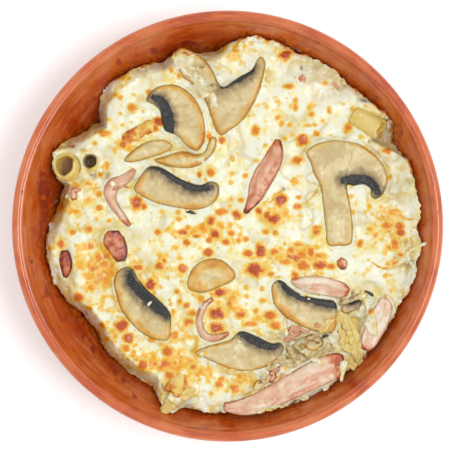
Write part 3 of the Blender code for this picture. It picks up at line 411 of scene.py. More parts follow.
GREYED = [
    (322, 74, 30, 18, -35, 0.85), (395, 190, 20, 30, 0, 0.55), (60, 250, 7, 26, 0, 0.45),
    (128, 378, 26, 10, -30, 0.55), (92, 122, 14, 9, 30, 0.7), (300, 342, 34, 14, 10, 0.6),
    (205, 62, 24, 22, 30, 0.55), (348, 326, 22, 26, 0, 0.5), (70, 140, 14, 10, 0, 0.5),
    (408, 280, 14, 24, 0, 0.45), (195, 400, 24, 12, 0, 0.35), (185, 150, 30, 10, 20, 0.35),
    (278, 68, 10, 16, 0, 0.35), (160, 340, 12, 8, 0, 0.3), (240, 352, 30, 8, 0, 0.35),
    (360, 160, 16, 8, 0, 0.3), (90, 335, 16, 10, -40, 0.35), (60, 275, 10, 16, 0, 0.45),
    (345, 75, 16, 12, -35, 0.6),
]
WHITE = [
    (140, 108, 34, 22, 0, 0.8), (190, 232, 22, 14, 0, 0.5), (245, 160, 34, 24, 0, 0.6),
    (246, 298, 22, 14, 0, 0.7), (112, 306, 14, 10, 0, 0.5), (330, 258, 16, 7, 0, 0.5),
    (355, 255, 20, 10, 0, 0.5), (408, 285, 10, 22, 0, 0.5),
]

# Burnt and stained places on the dish's wall, with painted shadow in its nooks and under the food's edge, as
# the zones above
BURNT_AND_SHADOWED = [
    (44, 212, 8, 34, 0, 0.55), (40, 178, 7, 20, 0, 0.45), (40, 245, 7, 26, 0, 0.6),
    (48, 290, 8, 20, -20, 0.6), (61, 317, 8, 12, -30, 0.65), (82, 338, 6, 5, -40, 0.6),
    (92, 351, 6, 5, -40, 0.9), (110, 368, 10, 4, -35, 0.7), (124, 384, 15, 5, -40, 0.9),
    (139, 402, 10, 3, -35, 0.7), (118, 61, 5, 4, 0, 0.8), (136, 55, 6, 6, 0, 0.6), (153, 50, 6, 6, 0, 0.6),
    (102, 80, 9, 5, 40, 0.65), (94, 97, 6, 9, 0, 0.65), (190, 41, 11, 3, 0, 0.9),
    (292, 46, 13, 3.5, -28, 0.9), (318, 41, 16, 4, -25, 0.55), (352, 78, 12, 4, -40, 0.45),
    (360, 96, 12, 5, -30, 0.75), (376, 96, 10, 3, -40, 0.6), (412, 170, 3.5, 22, 0, 0.5),
    (433, 215, 3, 12, 0, 0.5), (420, 300, 4, 14, 10, 0.3), (398, 348, 4, 20, 35, 0.35),
    (235, 427, 34, 4, 0, 0.5), (185, 424, 18, 4, 0, 0.35), (300, 420, 26, 4, 15, 0.45),
    (62, 128, 8, 14, -30, 0.35), (402, 135, 4, 14, 0, 0.7), (52, 150, 5, 10, 0, 0.5),
]

# How browned these tubes are, from 0 to 1
ROASTED_TUBES = {"back_far_left": 0.6, "end_near_left": 0.6}

# Standing tubes: how upright they are at least, the hole's share of the bore, and the cheese round
# it as (reach, rise)
STANDING = 0.7
HOLES = {"end_left": 1.0, "end_left_inner": 0.5}
HOLE_EDGES = {"end_left": (2.5, -1.4), "end_left_inner": (5.0, 1.5)}

# How much cheese lies on each lying tube: a larger number covers more
COVER = {
    "end_far_right": -0.25, "end_near_left": 0.05, "back_right": -0.25, "back_near": 0.1,
    "back_far_left": -0.3,
}

# Further zones in pixels: crags, flakes, painted shadows in pits, gaps and nooks, thin cheese over the
# toppings, and painted shade where the rim is chipped
RUBBLE = [
    (308, 338, 30, 14, -10, 1), (352, 322, 12, 24, 0, 0.9), (280, 362, 22, 10, 20, 0.7),
    (78, 168, 20, 20, 0, 0.7), (350, 298, 18, 8, 0, 0.7), (108, 178, 14, 14, 0, 0.5),
    (262, 390, 18, 10, 20, 0.6), (410, 255, 12, 22, 0, 0.5), (205, 75, 12, 16, 30, 0.5),
]
FLAKY = [
    (392, 222, 22, 16, 0, 0.9), (402, 248, 14, 20, 0, 0.8), (372, 262, 24, 8, 0, 0.4),
    (95, 268, 14, 10, 0, 0.4),
]
PIT_SHADOWS = [
    (370, 141, 1.2, 1.6, 0, 1), (302, 67, 2, 2.6, 0, 0.8), (338, 86, 1.4, 4, 20, 0.7),
    (72, 146, 2, 2.2, 0, 0.9), (88, 160, 4, 5, 0, 1), (365, 100, 7, 2.5, -10, 0.8),
    (403, 138, 1.8, 7, 10, 0.9), (423, 236, 2.6, 4, 0, 0.9), (57, 187, 5, 4, 0, 0.8),
    (93, 107, 3, 6, 0, 0.8), (390, 326, 2.4, 2, 0, 0.8), (162, 387, 1.4, 3.4, 20, 0.8),
    (295, 403, 5, 2.4, 20, 0.8), (284, 189, 2.4, 2.6, 0, 0.7), (136, 361, 0.8, 0.8, 0, 1),
    (130, 370, 0.8, 0.8, 0, 0.9), (181, 358, 0.9, 0.9, 0, 1),
]
FILMS = [
    (184, 60, 15, 12, -30, 1.2), (200, 84, 11, 16, 30, 1.1), (214, 104, 9, 12, 0, 0.8),
    (372, 322, 9, 17, 20, 1.3), (343, 368, 5, 10, 0, 1.1), (300, 388, 22, 3, 25, 0.7),
    (262, 402, 12, 3, 10, 0.6), (206, 354, 14, 5, 10, 0.8), (234, 364, 16, 3, 0, 0.7),
    (200, 158, 16, 5, 10, 0.8), (168, 148, 8, 4, 0, 0.5), (112, 184, 6, 5, 0, 0.8),
    (120, 206, 4, 6, 0, 0.6), (202, 308, 4, 7, 0, 0.8), (214, 332, 8, 4, 0, 0.7),
    (312, 287, 16, 2.6, 18, 0.8), (345, 300, 5, 4, 0, 0.9), (322, 350, 6, 4, 0, 0.8),
    (212, 190, 6, 5, 0, 0.6), (268, 378, 6, 5, 0, 0.8), (72, 196, 4, 6, 0, 0.8), (64, 262, 4, 8, 0, 0.5),
    (178, 96, 5, 4, 0, 0.4), (160, 340, 6, 5, 0, 0.5), (258, 205, 5, 5, 0, 0.5), (262, 376, 5, 4, 0, 0.8),
]
CHIP_SHADOWS = [
    (22, 192, 1.4, 2.4, 0, 1), (31, 262, 1.4, 2, 0, 0.9), (438, 212, 1.2, 2, 0, 0.8),
    (300, 21, 1.6, 1, 0, 0.6),
]

# Loose bits in pixels, as (x, y, half length, half width, turn in degrees, height), and shreds as
# (radius in millimetres, points in pixels)
CHEESE_BITS = [
    (149, 304, 2.8, 1.6, 40, 1), (344, 370, 10, 3, 80, 1.2), (239, 342, 3, 1.4, -8, 0.6),
    (303, 296, 4, 1.3, -20, 0.8), (309, 299.5, 2, 1, 10, 0.6), (301, 343, 4.5, 2.2, 20, 1.4),
    (330, 348, 4.5, 2.2, 75, 1.2), (289, 375, 2.5, 1.2, 30, 0.8), (345, 319, 2.4, 1.4, 10, 0.8),
    (366, 296, 3, 1.6, 60, 1), (100, 170, 2.6, 1.4, 30, 0.8), (66, 196, 2.2, 1.6, 0, 0.8),
    (262, 412, 4, 2, 20, 1.4), (272, 409, 6, 3, 12, 1.8), (284, 406, 4.4, 3.4, 30, 1.8),
    (304, 399, 6, 3, 24, 1.8), (326, 388, 5, 3, 36, 1.8), (315, 394, 4, 2.6, 10, 1.8),
    (308, 352, 7, 4, 10, 2.4), (292, 346, 5, 3.4, 60, 2), (318, 362, 6, 3, -20, 2),
]
CHEESE_SHREDS = [
    (1.1, (428, 243), (419, 247), (410, 253), (404, 261), (396, 266)),
    (1, (362, 291), (365, 299), (369, 307), (368, 315)), (0.9, (355, 300), (364, 296), (373, 298)),
    (1, (386, 296), (394, 304), (396, 314)), (1, (285, 318), (286, 328), (288, 340)),
    (0.9, (412, 262), (416, 272), (412, 284)), (1, (334, 384), (320, 392), (306, 399), (294, 404)),
]
BROWN_BITS = [
    (296, 47, 6, 2, -28, 1), (72, 146, 3, 2, 0, 0.8), (52, 200, 3, 4, 0, 1), (108, 356, 3, 2, -30, 0.8),
]
BROWN_SHREDS = [
    (0.45, (321, 182), (318, 190), (312, 198), (305, 204)),
    (0.55, (372, 262), (382, 268), (394, 268), (402, 260)), (0.5, (400, 214), (408, 219), (416, 219)),
    (0.5, (388, 232), (397, 236), (402, 243)), (0.45, (412, 238), (415, 248), (411, 257)),
    (0.45, (378, 213), (386, 218), (391, 226)), (0.4, (282, 190), (276, 197), (270, 203)),
]
HAM_BITS = [
    (300, 330, 9, 5, -10, 2.6), (290, 339, 6, 4, 30, 2.2), (276, 372, 6, 3, 50, 2),
    (318, 326, 3.5, 2.4, 20, 1.4), (283, 378, 4, 2.4, 60, 1.6), (271, 378, 3, 2, 40, 1.4),
    (366, 358, 4, 2.4, 60, 1.6), (303, 78, 3, 5, 30, 1), (336, 84, 2, 4.5, 20, 1),
    (74, 190, 6, 2.6, 20, 1.4),
]
HAM_SHREDS = [
    (0.7, (128, 187), (120, 186), (112, 190)),
]
MUSHROOM_BITS = [
    (285, 362, 11, 6, -25, 3), (312, 341, 9, 5.5, 15, 3), (297, 355, 10, 5, -20, 2.8),
    (264, 384, 6, 4, 50, 2), (328, 352, 9, 5, 40, 2.6), (272, 366, 7, 4, 30, 2.4),
    (345, 303, 6, 2.6, 15, 1.6), (357, 297, 7, 2.6, 15, 1.6), (200, 66, 5, 3, 40, 1.2),
    (213, 86, 4, 3, 0, 1.2),
]
GILL_BITS = [
    (325, 337, 5, 2.2, 20, 1.2), (371, 294, 4.5, 2, -25, 1.2), (340, 331, 3, 1.4, 60, 1),
    (190, 212, 6, 1.6, -12, 0.8),
]
PASTA_BITS = [
    (344, 321, 11, 6.5, -60, 2.6), (353, 333, 13, 7, -68, 3), (346, 343, 11, 5.5, -60, 2.6),
    (358, 350, 12, 6.5, -75, 3), (350, 363, 10, 6.5, -80, 2.8), (361, 364, 8, 4.5, -60, 2.4),
    (171, 404, 12, 8, 35, 2.8), (184, 396, 11, 6.5, 25, 2.6), (330, 322, 5, 3, 30, 1.6),
    (250, 375, 8, 3.4, -20, 1.8), (232, 372, 6, 3, 10, 1.6), (268, 73, 3, 8, 10, 1.6),
]
PASTA_SHREDS = [
    (1, (337, 318), (341, 332), (345, 346)), (0.9, (330, 322), (326, 330), (318, 334)),
]

# Kinds of loose bits: name, slot, bits, shreds, and the level and spread of each field
LOOSE = [
    ("cheese_shreds", "cheese", CHEESE_BITS, CHEESE_SHREDS,
     {"white": (0.6, 0.5), "toast": (0.08, 0.4), "sauce": (0.25, 0.7)}),
    ("browned_shreds", "cheese", [], BROWN_SHREDS, {"toast": (0.6, 0.6), "blister": (0.25, 0.6)}),
    ("burnt_bits", "cheese", BROWN_BITS, [], {"crust": (0.9, 0.4), "dark": (0.5, 0.7)}),
    ("ham_bits", "ham", HAM_BITS, HAM_SHREDS, {"fibre": (0.45, 0.7), "roast": (0.20, 0.7)}),
    ("mushroom_bits", "mushroom", MUSHROOM_BITS, [],
     {"golden": (0.25, 0.7), "halo": (0.2, 0.6), "skin": (0.15, 0.6)}),
    ("gill_bits", "mushroom", GILL_BITS, [], {"gill": (0.9, 0.3), "comb": (0.75, 0.4)}),
    ("pasta_bits", "pasta", PASTA_BITS, PASTA_SHREDS, {"pale": (0.85, 0.5), "brown": (0.02, 0.4)}),
]
GROUND_NAMES = ("melted", "slice_", "strip_", "tube_", "fired")


# Shape helpers

def mm(x, y):
    """Millimetres in the dish's frame of a pixel."""
    return (x - CENTRE_PX[0]) * MM_PER_PX, (CENTRE_PX[1] - y) * MM_PER_PX


def unit(values):
    """The values, held between 0 and 1."""
    return np.clip(values, 0.0, 1.0)


def smooth(t):
    t = unit(t)
    return t * t * (3.0 - 2.0 * t)


def bell(distance, width):
    return np.exp(-(distance / width) ** 2)


def turns(count):
    return np.arange(count) * 2.0 * math.pi / count


def polar(radius, angle):
    return radius * np.cos(angle), radius * np.sin(angle)


def wall_radius(z):
    rise = unit((z - FLOOR_LEVEL) / (WALL_TOP - FLOOR_LEVEL))
    return FLOOR_RADIUS + (LIP_INNER_RADIUS - FLOOR_RADIUS) * rise ** WALL_POWER


def wall_height(radius):
    share = unit((radius - FLOOR_RADIUS) / (LIP_INNER_RADIUS - FLOOR_RADIUS))
    return FLOOR_LEVEL + (WALL_TOP - FLOOR_LEVEL) * share ** (1.0 / WALL_POWER)


def outside_radius(z):
    return FOOT_RADIUS + (SHOULDER_RADIUS - FOOT_RADIUS) * (z / SHOULDER_HEIGHT) ** OUTSIDE_POWER


def food_radius(angle):
    degrees, radii = zip(*FOOD_OUTLINE)
    return np.minimum(np.interp(np.degrees(angle), degrees, radii, period=360.0), FOOD_REACH)


def food_edge(x, y):
    """The food's radius in the direction of each point."""
    return food_radius(np.arctan2(y, x))


def hashed(i, j, seed):
    """A number from 0 to 1 for each lattice point."""
    n = np.sin(i * 127.1 + j * 311.7 + seed * 74.7) * 43758.5453
    return n - np.floor(n)


def lumps(x, y, size, seed):
    """Smooth noise from -1 to 1 whose lumps are about the size given."""
    u = x / size
    v = y / size
    i = np.floor(u)
    j = np.floor(v)
    s = smooth(u - i)
    t = smooth(v - j)
    near = hashed(i, j, seed) * (1 - s) + hashed(i + 1, j, seed) * s
    far = hashed(i, j + 1, seed) * (1 - s) + hashed(i + 1, j + 1, seed) * s
    return 2.0 * (near * (1 - t) + far * t) - 1.0


def rough(x, y, size, seed, octaves=3):
    """Noise from about -1 to 1 with finer lumps on the large ones."""
    total = np.zeros(np.shape(x))
    for k in range(octaves):
        turn = 0.7 * (k + 1)
        u = x * math.cos(turn) + y * math.sin(turn)
        v = y * math.cos(turn) - x * math.sin(turn)
        total = total + lumps(u, v, size / 2 ** k, seed + 13 * k) / 2 ** k
    return total / 1.5


def hump(x, y, cx, cy, half_length, half_width, turn):
    """A soft hump of height 1 round a centre, turned by degrees."""
    c = math.cos(math.radians(turn))
    s = math.sin(math.radians(turn))
    along = ((x - cx) * c + (y - cy) * s) / half_length
    across = ((y - cy) * c - (x - cx) * s) / half_width
    return np.exp(-along ** 2 - across ** 2)


def zones(x, y, table):
    """Soft zones of the table, given in pixels, added up."""
    total = np.zeros(x.shape)
    for px, py, wide, high, turn, strength in table:
        total = total + strength * hump(x, y, *mm(px, py), wide * MM_PER_PX, high * MM_PER_PX, turn)
    return total


def relief(x, y):
    """Height of the baked top where nothing lies on it."""
    x = np.asarray(x, dtype=float)
    y = np.asarray(y, dtype=float)
    r = np.hypot(x, y)
    z = CROWN_LEVEL - (CROWN_LEVEL - EDGE_LEVEL) * (r / DOME_RADIUS) ** 2
    for *place, height in MOUNDS:
        z = z + height * hump(x, y, *place)
    for k, length in enumerate(WAVE_LENGTHS):
        turn = 1.1 + 2.1 * k
        along = x * math.cos(turn) + y * math.sin(turn)
        z = z + WAVE_HEIGHT * np.sin(2.0 * math.pi * along / length + k)
    outline = food_edge(x, y)
    edge = wall_height(outline + WALL_CLEARANCE)
    return edge + (z - edge) * smooth((outline - r) / ROUND_OFF)


# Outlines and lines

def curve_point(p0, p1, p2, p3, t):
    """A point between p1 and p2 on the curve through all four."""
    return tuple(
        0.5 * (2 * b + (c - a) * t + (2 * a - 5 * b + 4 * c - d) * t ** 2 + (3 * b - a - 3 * c + d) * t ** 3)
        for a, b, c, d in zip(p0, p1, p2, p3)
    )


def closed_curve(points, steps):
    curve = []
    count = len(points)
    for i in range(count):
        near = [points[(i + k - 1) % count] for k in range(4)]
        curve += [curve_point(*near, step / steps) for step in range(steps)]
    return curve


def open_curve(points, steps):
    padded = [points[0]] + list(points) + [points[-1]]
    curve = []
    for i in range(len(points) - 1):
        curve += [curve_point(*padded[i:i + 4], step / steps) for step in range(steps)]
    curve.append(tuple(points[-1]))
    return curve


def pairs(outline):
    """Each point of a closed outline with the next one."""
    return zip(outline, outline[1:] + outline[:1])


def signed_area(outline):
    return sum(x1 * y2 - x2 * y1 for (x1, y1), (x2, y2) in pairs(outline))


def clockwise(outline):
    return outline[::-1] if signed_area(outline) > 0.0 else outline


def heading(curve, i):
    """The direction of the curve at its point of that number."""
    before = curve[max(i - 1, 0)]
    after = curve[min(i + 1, len(curve) - 1)]
    return Vector((after[0] - before[0], after[1] - before[1])).normalized()


def strip_outline(stations, steps):
    curve = open_curve(stations, steps)
    left = []
    right = []
    for i, (x, y, half) in enumerate(curve):
        along = heading(curve, i)
        left.append((x - along.y * half, y + along.x * half))
        right.append((x + along.y * half, y - along.x * half))
    return left + right[::-1]


def near_line(line, x, y, margin):
    """Which points are in the box round the line, with a margin."""
    xs = [p[0] for p in line]
    ys = [p[1] for p in line]
    across = (x > min(xs) - margin) & (x < max(xs) + margin)
    return across & (y > min(ys) - margin) & (y < max(ys) + margin)


def edge_distance(outline, x, y):
    """Distance from the outline: positive outside it, negative inside."""
    nearest = np.full(x.shape, FAR)
    inside = np.zeros(x.shape, dtype=bool)
    for (x1, y1), (x2, y2) in pairs(outline):
        dx = x2 - x1
        dy = y2 - y1
        t = unit(((x - x1) * dx + (y - y1) * dy) / (dx * dx + dy * dy + TINY))
        nearest = np.minimum(nearest, np.hypot(x - x1 - t * dx, y - y1 - t * dy))
        if y1 != y2:
            crosses = (y1 > y) != (y2 > y)
            inside ^= crosses & (x < x1 + (y - y1) * dx / dy)
    return np.where(inside, -nearest, nearest)


def line_position(line, x, y):
    """For each point: distance to the line, way along it, side, and the line's third value there."""
    nearest = np.full(x.shape, FAR)
    along = np.zeros(x.shape)
    side = np.zeros(x.shape)
    width = np.zeros(x.shape)
    done = 0.0
    for (x1, y1, w1), (x2, y2, w2) in zip(line, line[1:]):
        dx = x2 - x1
        dy = y2 - y1
        length = math.hypot(dx, dy) + TINY
        t = unit(((x - x1) * dx + (y - y1) * dy) / length ** 2)
        away = np.hypot(x - x1 - t * dx, y - y1 - t * dy)
        closer = away < nearest
        nearest = np.where(closer, away, nearest)
        along = np.where(closer, done + t * length, along)
        side = np.where(closer, np.sign((x - x1) * dy - (y - y1) * dx), side)
        width = np.where(closer, w1 + t * (w2 - w1), width)
        done += length
    return nearest, along, side, width


def underside(outline, sink, tilt):
    """The plane that a topping lies on."""
    cx = float(np.mean([x for x, _ in outline]))
    cy = float(np.mean([y for _, y in outline]))
    level = float(relief(cx, cy)) - sink
    return lambda x, y: level + tilt[0] * (x - cx) + tilt[1] * (y - cy)


def topping_seats():
    """Outline, underside and thickness of every topping."""
    seats = {}
    for name, (points, thickness, sink, tilt) in MUSHROOMS.items():
        plane = underside(clockwise(closed_curve(points, COARSE_STEPS)), sink, tilt)
        seats[name] = (clockwise(closed_curve(points, FINE_STEPS)), plane, thickness)
    for name, (stations, thickness, sink, tilt) in HAMS.items():
        plane = underside(strip_outline(stations, COARSE_STEPS), sink, tilt)
        seats[name] = (strip_outline(stations, FINE_STEPS), plane, thickness)
    return seats


# Meshes

def new_object(name, points, faces, mat, fields=None):
    """An object of points in millimetres, with a value at each point for every field."""
    mesh = bpy.data.meshes.new(name)
    mesh.from_pydata((np.asarray(points) * MM).tolist(), [], faces)
    for field, values in (fields or {}).items():
        attribute = mesh.attributes.new(field, "FLOAT", "POINT")
        attribute.data.foreach_set("value", np.asarray(values, dtype=np.float32))
    mesh.validate()
    mesh.shade_smooth()
    mesh.materials.append(mat)
    obj = bpy.data.objects.new(name, mesh)
    bpy.context.scene.collection.objects.link(obj)
    return obj


def face_outward(piece):
    bm = bmesh.new()
    bm.from_mesh(piece.data)
    bmesh.ops.recalc_face_normals(bm, faces=bm.faces)
    bm.to_mesh(piece.data)
    bm.free()


def finished(piece, slot, *nodes):
    """The piece rides on the one body and stands for the nodes, which are hidden; the slot is not used."""
    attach(piece, "root")
    if nodes:
        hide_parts(*nodes)
    return piece


def stitch(inner, outer):
    """Triangles between two rings of point numbers that go round the same way."""
    faces = []
    n = len(inner)
    m = len(outer)
    i = 0
    j = 0
    while i < n or j < m:
        if j < m and (i >= n or n == 1 or (j + 1) / m <= (i + 1) / n):
            faces.append((inner[i % n], outer[j % m], outer[(j + 1) % m]))
            j += 1
            if n == 1 and j == m:
                break
        else:
            faces.append((inner[i % n], outer[j % m], inner[(i + 1) % n]))
            i += 1
    return faces


class Shell:
    """Rings of points joined one after the other."""

    def __init__(self):
        self.points = []
        self.faces = []
        self.last = None

    def ring(self, x, y, z, join=True):
        start = sum(len(part) for part in self.points)
        self.points.append(np.stack([x, y, z], axis=1))
        numbers = list(range(start, start + len(x)))
        if join and self.last is not None:
            self.faces += stitch(self.last, numbers)
        self.last = numbers

    def tip(self, point):
        self.ring(*[np.full(1, value) for value in point])

    def array(self):
        return np.concatenate(self.points)


def disc_ring(k, rings, inset):
    if k == 0:
        return np.zeros(1), np.zeros(1)
    angle = turns(6 * k)
    return polar((food_radius(angle) - inset) * k / rings, angle)


def skirt(angle):
    """Foot of the cheese's edge: its outer and its inner radius, and its height."""
    outline = food_radius(angle)
    inset = outline - LIP_INSET
    z = np.minimum(relief(*polar(outline, angle)), relief(*polar(inset, angle))) - CHEESE_SKIRT
    outer = np.minimum(outline, wall_radius(z) - 2.0 * GAP)
    inner = np.minimum(inset, outer - SKIRT_WIDTH)
    return outer, inner, z


# Materials

def rgb(red, green, blue):
    """Reflectance of a surface that reads as the sRGB colour, from 0 to 255, in the studio's light."""
    values = [v / 255.0 for v in (red, green, blue)]
    linear = [v / 12.92 if v <= 0.04045 else ((v + 0.055) / 1.055) ** 2.4 for v in values]
    return (*(max(v - SHEEN, DARKEST) / (SKY + KEY) for v in linear), 1.0)


class Finish:
    """A Principled material whose colour is built up in layers, with short ways to add nodes."""

    def __init__(self, name):
        self.material = bpy.data.materials.new(name)
        self.material.use_nodes = True
        self.tree = self.material.node_tree
        self.shader = self.tree.nodes["Principled BSDF"]
        self.where = self.node("TexCoord", {}).outputs["Object"]
        self.colour = None

    def link(self, source, target):
        if hasattr(source, "is_output"):
            self.tree.links.new(source, target)
        else:
            target.default_value = source

    def node(self, kind, inputs, **settings):
        node = self.tree.nodes.new("ShaderNode" + kind)
        for name, value in settings.items():
            setattr(node, name, value)
        for key, value in inputs.items():
            self.link(value, node.inputs[key])
        return node

    def set(self, **values):
        """Inputs of the shader, with an underscore for each space in a name."""
        for name, value in values.items():
            self.link(value, self.shader.inputs[name.replace("_", " ")])

    def field(self, name):
        return self.node("Attribute", {}, attribute_name=name).outputs["Fac"]

    def noise(self, size, detail=3.0, roughness=0.55):
        """Noise from 0 to 1 with lumps of the size in millimetres."""
        inputs = {"Vector": self.where, "Scale": 1.0 / (size * MM), "Detail": detail, "Roughness": roughness}
        return self.node("TexNoise", inputs).outputs["Fac"]

    def plus(self, a, b):
        return self.node("Math", {0: a, 1: b}, operation="ADD").outputs[0]

    def minus(self, a, b):
        return self.node("Math", {0: a, 1: b}, operation="SUBTRACT").outputs[0]

    def times(self, a, b):
        return self.node("Math", {0: a, 1: b}, operation="MULTIPLY").outputs[0]

    def blurred(self, value, noise, amount):
        """The value, made uneven by the noise."""
        return self.plus(value, self.times(self.minus(noise, 0.5), amount))

    def step(self, value, low, high):
        """Rises smoothly from 0 at low to 1 at high."""
        inputs = {"Value": value, "From Min": low, "From Max": high}
        return self.node("MapRange", inputs, interpolation_type="SMOOTHSTEP").outputs["Result"]

    def ramp(self, value, *stops):
        """Colours along the value, with stops as (place, red, green, blue)."""
        node = self.node("ValToRGB", {"Fac": value})
        elements = node.color_ramp.elements
        while len(elements) < len(stops):
            elements.new(0.5)
        for element, (place, *colour) in zip(elements, stops):
            element.position = place
            element.color = rgb(*colour)
        return node.outputs["Color"]

    def mix(self, share, a, b):
        return self.node("Mix", {0: share, 6: a, 7: b}, data_type="RGBA").outputs[2]

    def layer(self, share, colour):
        """Covers the colour so far by the share, with a colour from 0 to 255 or a ramp's."""
        top = colour if hasattr(colour, "is_output") else rgb(*colour)
        self.colour = self.mix(share, self.colour, top)

    def bump(self, height, depth, strength):
        """A fine relief, with its depth in millimetres."""
        node = self.node("Bump", {"Strength": strength, "Distance": depth * MM, "Height": height})
        self.link(node.outputs["Normal"], self.shader.inputs["Normal"])

    def soften(self, weight, radius, scale):
        """A little light passes through the surface; the scale is in millimetres."""
        self.set(Subsurface_Weight=weight, Subsurface_Radius=radius, Subsurface_Scale=scale * MM)


def cheese_finish():
    f = Finish("baked_cheese")
    wide = f.noise(8.0, 3.0, 0.6)
    mid = f.noise(2.8, 3.0, 0.6)
    fine = f.noise(0.7, 3.0, 0.6)
    grain = f.times(f.minus(fine, 0.5), 0.5)
    tone = f.plus(f.times(wide, 0.68), f.times(mid, 0.32))
    tone = f.plus(tone, f.times(grain, 0.25))
    tone = f.minus(tone, f.times(f.field("white"), 0.08))
    f.colour = f.ramp(
        tone, (0.43, 255, 255, 232), (0.50, 255, 250, 208), (0.57, 254, 238, 168), (0.64, 250, 222, 126),
        (0.74, 243, 200, 94))
    patch = f.times(f.minus(f.noise(4.2, 2.0, 0.5), 0.5), 1.7)
    heat = f.plus(f.times(f.field("toast"), 1.15), patch)
    heat = f.plus(heat, f.times(grain, 0.5))
    f.layer(f.step(heat, 0.12, 0.46), f.ramp(
        heat, (0.15, 252, 236, 164), (0.36, 252, 216, 108), (0.56, 252, 190, 68), (0.80, 244, 156, 54),
        (1.0, 216, 114, 42)))
    f.layer(f.times(f.field("sauce"), f.step(mid, 0.30, 0.62)), (214, 192, 138))
    # Painted shade: warm yellow-beige in the creases of the top and between the crags
    f.layer(f.times(f.field("crease"), 0.5), (222, 196, 126))
    # Painted shade: dark brown in the hollows between the crags of the rubble
    f.layer(f.times(f.field("gap"), f.step(mid, 0.3, 0.55)), (132, 98, 56))
    blister = f.plus(f.field("blister"), f.times(grain, f.step(f.field("blister"), 0.02, 0.3)))
    f.layer(f.step(blister, 0.02, 0.24), f.ramp(
        blister, (0.0, 251, 234, 160), (0.18, 251, 218, 118), (0.36, 250, 200, 88), (0.54, 247, 174, 66),
        (0.70, 240, 148, 54), (0.86, 220, 116, 46), (1.0, 184, 82, 36)))
    f.layer(f.times(f.field("pith"), f.step(fine, 0.40, 0.65)), (228, 140, 60))
    crust = f.blurred(f.field("crust"), mid, 0.8)
    baked = f.ramp(crust, (0.0, 248, 206, 122), (0.5, 232, 154, 74), (1.0, 158, 76, 38))
    f.layer(f.step(crust, 0.25, 0.6), baked)
    # Painted shade: brown inside and in front of the open tubes
    f.layer(f.field("hollow"), (176, 132, 72))
    # Painted shadow in the pits and gaps, and the dark colour of the burnt bits
    f.layer(f.field("dark"), (84, 40, 26))
    f.set(Base_Color=f.colour, Roughness=f.plus(f.times(mid, 0.3), 0.22))
    f.set(Specular_IOR_Level=0.4, Coat_Weight=0.22, Coat_Roughness=0.16)
    f.bump(f.plus(f.times(fine, 0.5), mid), 0.42, 0.7)
    f.soften(0.10, (1.0, 0.7, 0.4), 1.0)
    return f.material


def mushroom_finish():
    f = Finish("mushroom_flesh")
    fine = f.noise(0.45, 2.0, 0.5)
    mid = f.noise(2.0, 3.0, 0.6)
    wide = f.noise(6.0, 2.0)
    f.colour = f.mix(f.step(wide, 0.35, 0.65), rgb(238, 222, 172), rgb(220, 196, 138))
    f.layer(f.times(f.step(mid, 0.45, 0.75), 0.35), (204, 174, 112))
    f.layer(f.times(f.field("streak"), 0.5), (196, 166, 110))
    f.layer(f.times(fine, 0.12), (196, 168, 120))
    golden = f.blurred(f.field("golden"), mid, 0.4)
    f.layer(f.step(golden, 0.05, 0.55), f.ramp(
        golden, (0.0, 238, 212, 138), (0.40, 236, 190, 100), (0.75, 214, 146, 64), (1.0, 178, 106, 46)))
    halo = f.blurred(f.field("halo"), mid, 0.3)
    f.layer(f.step(halo, 0.08, 0.40), f.ramp(
        halo, (0.0, 214, 192, 140), (0.40, 186, 162, 116), (0.75, 136, 118, 88), (1.0, 86, 76, 62)))
    f.layer(f.times(f.field("skin"), f.step(mid, 0.2, 0.5)), (150, 98, 48))
    # Gills: their own dark colour, with painted highlights on the ridges and painted shade between them
    f.layer(f.step(f.field("gill"), 0.3, 0.7), f.ramp(
        f.field("comb"), (0.0, 10, 9, 8), (0.5, 30, 29, 26), (0.85, 82, 78, 66), (1.0, 150, 142, 118)))
    f.set(Base_Color=f.colour, Roughness=f.plus(f.times(mid, 0.2), 0.28))
    f.set(Coat_Weight=0.22, Coat_Roughness=0.16)
    f.bump(f.plus(f.times(fine, 0.4), mid), 0.26, 0.7)
    f.soften(0.10, (1.0, 0.7, 0.4), 1.0)
    return f.material


def ham_finish():
    f = Finish("ham_meat")
    fine = f.noise(0.7, 3.0, 0.6)
    mid = f.noise(3.0, 3.0, 0.6)
    fibre = f.blurred(f.blurred(f.field("fibre"), fine, 0.5), mid, 0.6)
    f.colour = f.ramp(
        fibre, (0.0, 206, 122, 86), (0.3, 228, 164, 128), (0.6, 238, 194, 162), (0.85, 244, 214, 184),
        (1.0, 250, 238, 214))
    roast = f.blurred(f.field("roast"), fine, 0.4)
    f.layer(f.step(roast, 0.08, 0.62), f.ramp(
        roast, (0.0, 236, 176, 130), (0.45, 222, 134, 86), (0.8, 190, 92, 58), (1.0, 128, 56, 38)))
    f.set(Base_Color=f.colour, Roughness=f.plus(f.times(fine, 0.2), 0.26))
    f.set(Coat_Weight=0.3, Coat_Roughness=0.16)
    f.bump(f.plus(fine, mid), 0.30, 0.7)
    f.soften(0.10, (1.0, 0.5, 0.3), 1.0)
    return f.material


def pasta_finish():
    f = Finish("cooked_pasta")
    mid = f.noise(3.0, 3.0)
    fine = f.noise(0.8, 3.0)
    f.colour = f.mix(f.step(mid, 0.3, 0.7), rgb(245, 217, 118), rgb(231, 196, 92))
    # Painted shade: deeper yellow inside the tubes' bores, more so further in, and on the heap under the
    # cheese
    f.layer(f.field("inside"), (228, 182, 92))
    f.layer(f.times(f.field("pale"), 0.8), (246, 222, 152))
    brown = f.times(f.field("brown"), f.step(mid, 0.3, 0.6))
    tone = f.ramp(brown, (0.0, 243, 190, 96), (0.6, 226, 140, 58), (1.0, 176, 84, 42))
    f.layer(f.step(brown, 0.1, 0.5), tone)
    f.set(Base_Color=f.colour, Roughness=0.36)
    f.bump(f.plus(fine, mid), 0.15, 0.5)
    f.soften(0.12, (1.0, 0.7, 0.3), 1.2)
    return f.material


